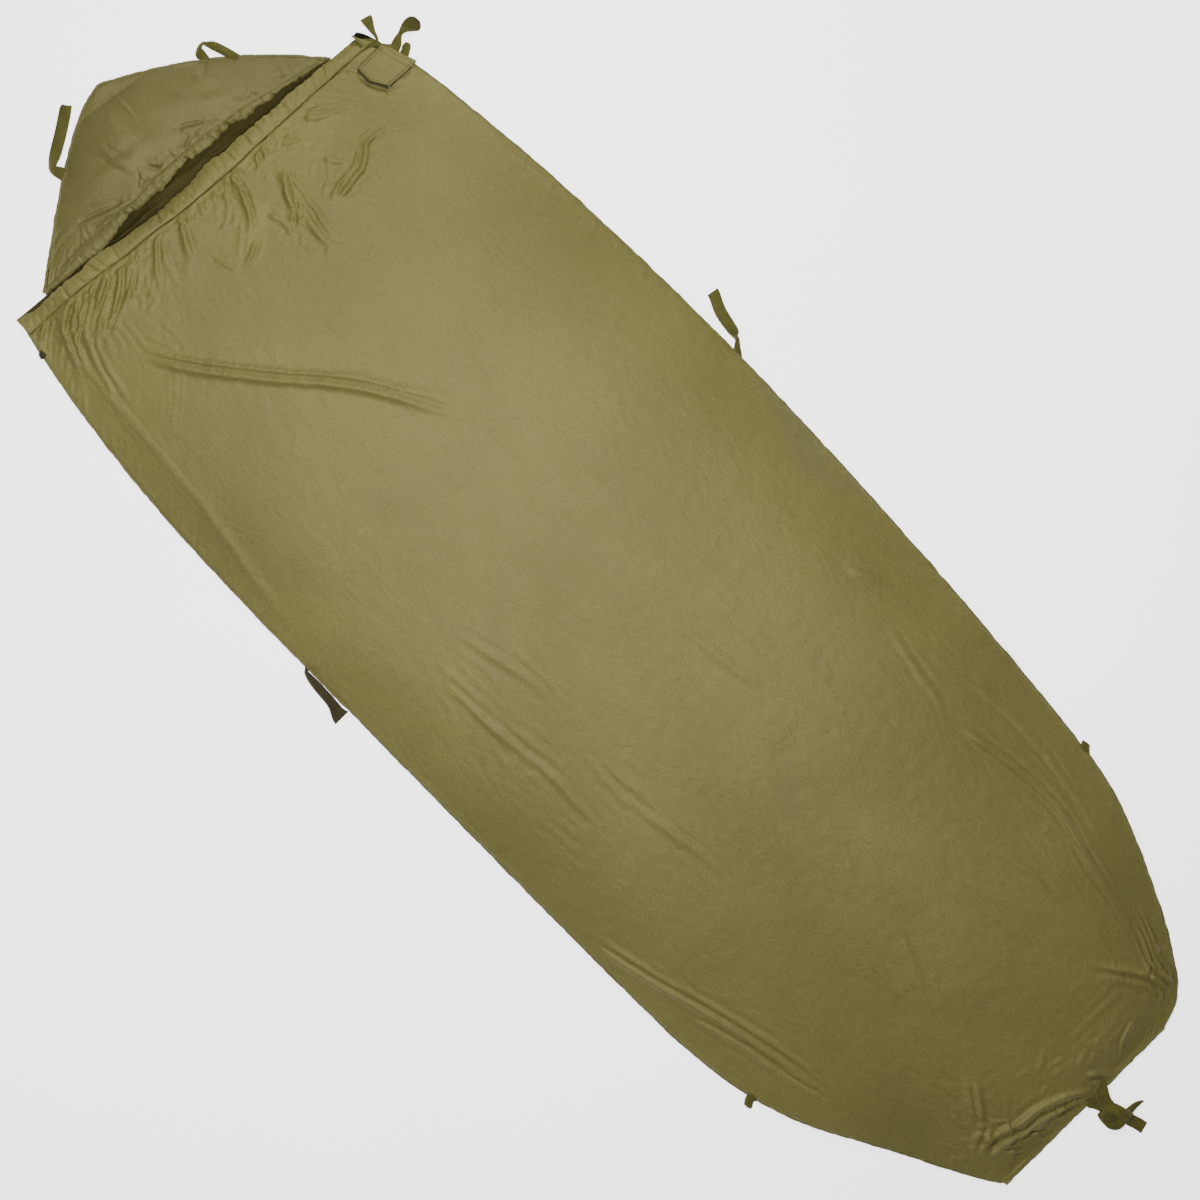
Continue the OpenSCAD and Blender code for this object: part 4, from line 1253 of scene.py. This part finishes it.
make_tie("foot_tie_legs", ["tie_foot_legs"], "tie_foot", [
    [(-14, -1118, 4.6, 8, 0, 25), (-14, -1128, 4.0, 12, 5, 24), (-11, -1140, 3.4, -8, 12, 20),
     (-7, -1151, 3.4, -5, 5, 18)],
    [(12, -1114, 6.4, 4, 0, 26), (9, -1125, 7.4, 2, 0, 25), (2, -1138, 7.6, -8, 0, 22),
     (-2, -1151, 7.4, -6, 0, 21)],
])
make_tie("foot_tie_knot", ["tie_foot_knot"], "tie_foot", [
    [(-14, -1147, 3.0, 10, 0, 20), (-13, -1160, 4.4, 5, 0, 27), (-11, -1172, 4.4, 0, 0, 28),
     (-7, -1184, 3.2, 0, 0, 20)],
    [(-2, -1149, 7.6, -5, 0, 20), (2, -1158, 9.6, -3, 0, 20), (6, -1170, 10.4, 0, 0, 19),
     (9, -1182, 8.4, 4, 0, 19), (10, -1188, 5.0, 4, 0, 19)],
    [(6, -1156, 5.0, 60, 20, 19), (-6, -1158, 7.4, 80, 10, 21), (-15, -1165, 7.0, 140, 0, 21),
     (-16, -1175, 5.4, 185, 0, 20), (-9, -1182, 4.6, 235, 5, 19), (4, -1181, 4.6, 262, 8, 19)],
])
make_tie("foot_tie_ends", ["tie_foot_ends"], "tie_foot", [
    [(-4, -1182, 4.4, 85, 10, 16), (12, -1180, 5.0, 84, 16, 15), (28, -1180, 4.2, 78, 10, 11),
     (38, -1182, 3.0, 70, 4, 7), (45, -1184.5, 2.4, 66, 0, 2.5)],
    [(7, -1184, 3.6, 10, 0, 19), (9, -1193, 3.0, 12, 0, 20), (13, -1205, 2.2, 14, 0, 20),
     (15, -1216, 2.4, 15, 0, 20)],
])
make_tie("draw_tape_tail_upper", ["draw_tail_upper"], "draw_tape_ends", [[
    (298, 883, 5.4, 86, 0, 16), (334, 881, 5.4, 84, 0, 16), (350, 873, 5.8, 74, 20, 10),
    (359, 866, 5.4, 30, 60, 6), (362, 867, 4.6, -2, 50, 5), (364.6, 879, 3.6, -8, 24, 8.5),
    (368.8, 892, 2.8, -12, 10, 15), (371.6, 901, 2.4, -16, 0, 19), (372.2, 906, 2.4, -16, 0, 19.5),
]], notch=11)
make_tie("draw_tape_tail_lower", ["draw_tail_lower"], "draw_tape_ends", [
    [(298, 881, 3.2, 86, 0, 16), (332, 878, 3.2, 84, 0, 16), (350, 866, 4.6, 64, 16, 11),
     (358, 855, 5.0, 30, 30, 10), (363, 845, 4.6, 45, 20, 14), (370, 838, 4.4, 85, 0, 18),
     (380, 841, 4.4, 103, 0, 16), (388, 845.5, 5.2, 114, 25, 11), (394, 847.5, 6.4, 118, 30, 9),
     (400, 847, 8.0, 118, 10, 13), (405, 845.5, 9.4, 119, 0, 20), (409, 844, 10.4, 119, -4, 24)],
], bow_most=2.0)
# The folded-back end of the lower tail uses the darker tape: painted shade inside the loop.
tail_end = ribbon("draw_tape_tail_fold", [
    (398, 848, 4.0, 118, 0, 11), (406, 846, 3.4, 112, 0, 21), (414, 844.5, 3.4, 102, 0, 28),
    (421, 844.5, 4.0, 97, 0, 27), (426, 845, 4.6, 95, 0, 20), (429, 845, 4.6, 95, 0, 11)], TAPE_PAINTED_SHADE)
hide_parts("draw_tail_lower")
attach(tail_end, "draw_tape_ends")
make_tie("side_tab_right", ["corner_tab_right"], "sack", [
    [(370, 816, 3.6, 80, 0, 12), (377, 820, 4.6, 100, 10, 14), (383, 824, 4.8, 108, 10, 15),
     (388, 826.5, 4.4, 108, 0, 13), (392, 828, 3.6, 108, 0, 9)],
    [(370, 820, 2.4, 90, 0, 12), (376, 822, 2.4, 95, 0, 13), (380, 824, 2.4, 100, 0, 9)],
])
# The left corner tab uses the dark tape: painted shade for the inside of its small folded loop.
make_tie("side_tab_left", ["corner_tab_left"], "sack", [
    [(-364, 884, 4.0, 95, 0, 13), (-369, 883, 5.2, 92, 20, 13), (-373, 882, 3.6, 90, 70, 12),
     (-370, 881, 1.6, 90, 160, 12)],
], TAPE_DARK)

# ---- Neck flap ----------------------------------------------------------------------

FLAP_Y, FLAP_L, FLAP_W, FLAP_CUT = 797.0, 70.0, 58.0, 22.0
FLAP_X = float(half_r(FLAP_Y)) + 2
FLAP_LEAN = float(half_r(FLAP_Y) - half_r(FLAP_Y + FLAP_W)) / FLAP_W
FLAP_Z = 2 * CLOTH_T + 3.6


def flap_point(along, v, inset=0.0):
    """A point of the flap in plan: along is 0 at its root and 1 at its free end, v is 0 at
    its lower edge and 1 at the upper one."""
    y = mix(3.0 + inset - 2.6 * (1 - along), FLAP_W - inset, v)
    root = -0.4 - FLAP_LEAN * y
    end = -FLAP_L + inset + 0.7 * FLAP_CUT * np.clip((FLAP_CUT + 8 - y) / (FLAP_CUT + 5), 0, 1)
    end = end + 3.0 * step(FLAP_W - 5, FLAP_W, y)
    return FLAP_X + mix(root, end, along), FLAP_Y + y


def curl_at(along, v):
    """How far the flap's free end stands up."""
    return 4.6 * step(0.5, 1.0, along) * (0.6 + 0.4 * (1 - v))


def flap_height(along, v):
    edge = np.minimum(np.minimum(v, 1 - v) * FLAP_W, (1 - along) * FLAP_L)
    top = 2.7 + 1.3 * np.exp(-(((edge - 2) / 2.4) ** 2)) - 0.9 * np.exp(-(((edge - 5) / 1.3) ** 2))
    seam = np.exp(-(((along * FLAP_L - 13) / 1.4) ** 2))
    curl = curl_at(along, v)
    return FLAP_Z + top - 1.0 * seam + curl + 0.5 * wander(along * 70, v * 58, 24, 91)


def make_flap():
    u, v = np.linspace(0, 1, 60), np.linspace(0, 1, 50)
    U, V = np.meshgrid(u, v, indexing="ij")
    X, Y = flap_point(U, V)
    top = flap_height(U, V)
    edge = np.minimum(np.minimum(V, 1 - V) * FLAP_W, (1 - U) * FLAP_L)
    top = top - 1.2 * (1 - step(0, 1.6, edge))
    low = FLAP_Z + 1.1 + curl_at(U, V)
    rim = [(0, j) for j in range(50)] + [(i, 49) for i in range(1, 60)]
    rim += [(59, j) for j in range(48, -1, -1)] + [(i, 0) for i in range(58, 0, -1)]
    n = U.size

    def closed(name, upper, lower, material):
        points = np.vstack([np.stack([X, Y, upper], -1).reshape(-1, 3),
                            np.stack([X, Y, lower], -1).reshape(-1, 3)])
        faces = grid_faces(60, 50)
        faces += [[n + k for k in f[::-1]] for f in grid_faces(60, 50)]
        for k, (i, j) in enumerate(rim):
            a, b = i * 50 + j, rim[(k + 1) % len(rim)][0] * 50 + rim[(k + 1) % len(rim)][1]
            faces.append([a, b, n + b, n + a])
        return build(name, points, faces, material)

    outer = closed("neck_flap_outer_cloth", top, low, CLOTH)
    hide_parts("neck_flap_outer")
    # The flap's lining takes the dark back cloth: partly its own tone, partly painted shade under the
    # flap.
    lining = closed("neck_flap_lining_cloth", low - 0.05, low - 1.0, CLOTH_BACK_SHADED)
    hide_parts("neck_flap_lining")
    paths = []
    a, b = np.linspace(0.03, 0.93, 40), np.linspace(0.07, 0.93, 34)
    for along, across in ((a, 0 * a + 0.075), (0 * b + 0.93, b), (a[::-1], 0 * a + 0.925),
                          (0 * b + 0.185, b)):
        x, y = flap_point(along, across)
        paths.append(np.stack([x, y, flap_height(along, across)], -1))
    sewn = join("neck_flap_stitches", [stitches(f"flap_run_{i}", p, 0.1, THREAD, 2.6, 1.4, 0.4)
                                       for i, p in enumerate(paths)])
    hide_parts("neck_flap_stitching")
    # Dark cords set just outside the flap's free edges: painted shadow where the flap stands off the
    # body cloth.
    shadow_edges = []
    long, tall = np.linspace(0.15, 1, 40), np.linspace(0, 1, 40)
    for k, (along, across, radius, out) in enumerate((
            (long, 0 * long, 1.0, (0.0, -0.8)), (0 * tall + 1, tall * 0.97, 2.2, (-2.3, -0.6)),
            (long, 0 * long + 1, 0.7, (0.0, 0.3)))):
        x, y = flap_point(along, across)
        z = FLAP_Z + 0.4 + 0.6 * curl_at(along, across)
        edge = np.stack([x + out[0], y + out[1], z], -1)
        shadow_edges.append(rolled_seam(f"flap_shadow_edge_{k}", edge, SHADOW_EDGE_YARN, 92 + k, radius, 0.15))
    shadow_edges = join("neck_flap_shadow_edge", shadow_edges)
    for obj, slot in ((outer, "cloth"), (lining, "cloth_back"), (sewn, "thread"), (shadow_edges, "thread")):
        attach(obj, "neck_flap")

    # The end of the flap that wraps round the side edge
    s, v = np.linspace(0, 1, 12), np.linspace(0, 1, 30)
    S, V = np.meshgrid(s, v, indexing="ij")
    y = mix(1.0, 50.0, V)
    root = FLAP_X - FLAP_LEAN * y
    angle = mix(0.5 * math.pi, -0.5 * math.pi, S)
    bulge = 5.6 * (1 - 0.55 * V)
    X = root - 3.5 + (3.5 + bulge) * np.cos(angle)
    Z = 5.6 + 5.0 * np.sin(angle)
    points = np.stack([X, FLAP_Y + y, Z], -1)
    inner = np.stack([root - 3.5 + (2.6 + bulge) * np.cos(angle), FLAP_Y + y,
                      5.6 + 4.1 * np.sin(angle)], -1)
    ring = np.concatenate([points, inner[::-1]], 0).transpose(1, 0, 2)
    m = ring.shape[1]
    faces = grid_faces(30, m, close_cols=True)
    faces += [list(range(m)), [29 * m + k for k in range(m)][::-1]]
    wrap = build("neck_flap_wrap", ring.reshape(-1, 3), faces, CLOTH)
    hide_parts("neck_flap_anchor")
    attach(wrap, "sack")


make_flap()

# ---- Plain CAD pieces get a finish --------------------------------------------------

CAD_FINISH = {
    "flap_loop_patch": HOOK, "flap_hook_patch": HOOK,
    "sack_tie_bartacks": THREAD, "hood_tie_bartacks": THREAD,
}
for node, finish in CAD_FINISH.items():
    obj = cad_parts[node]
    obj.data.materials.clear()
    obj.data.materials.append(finish)
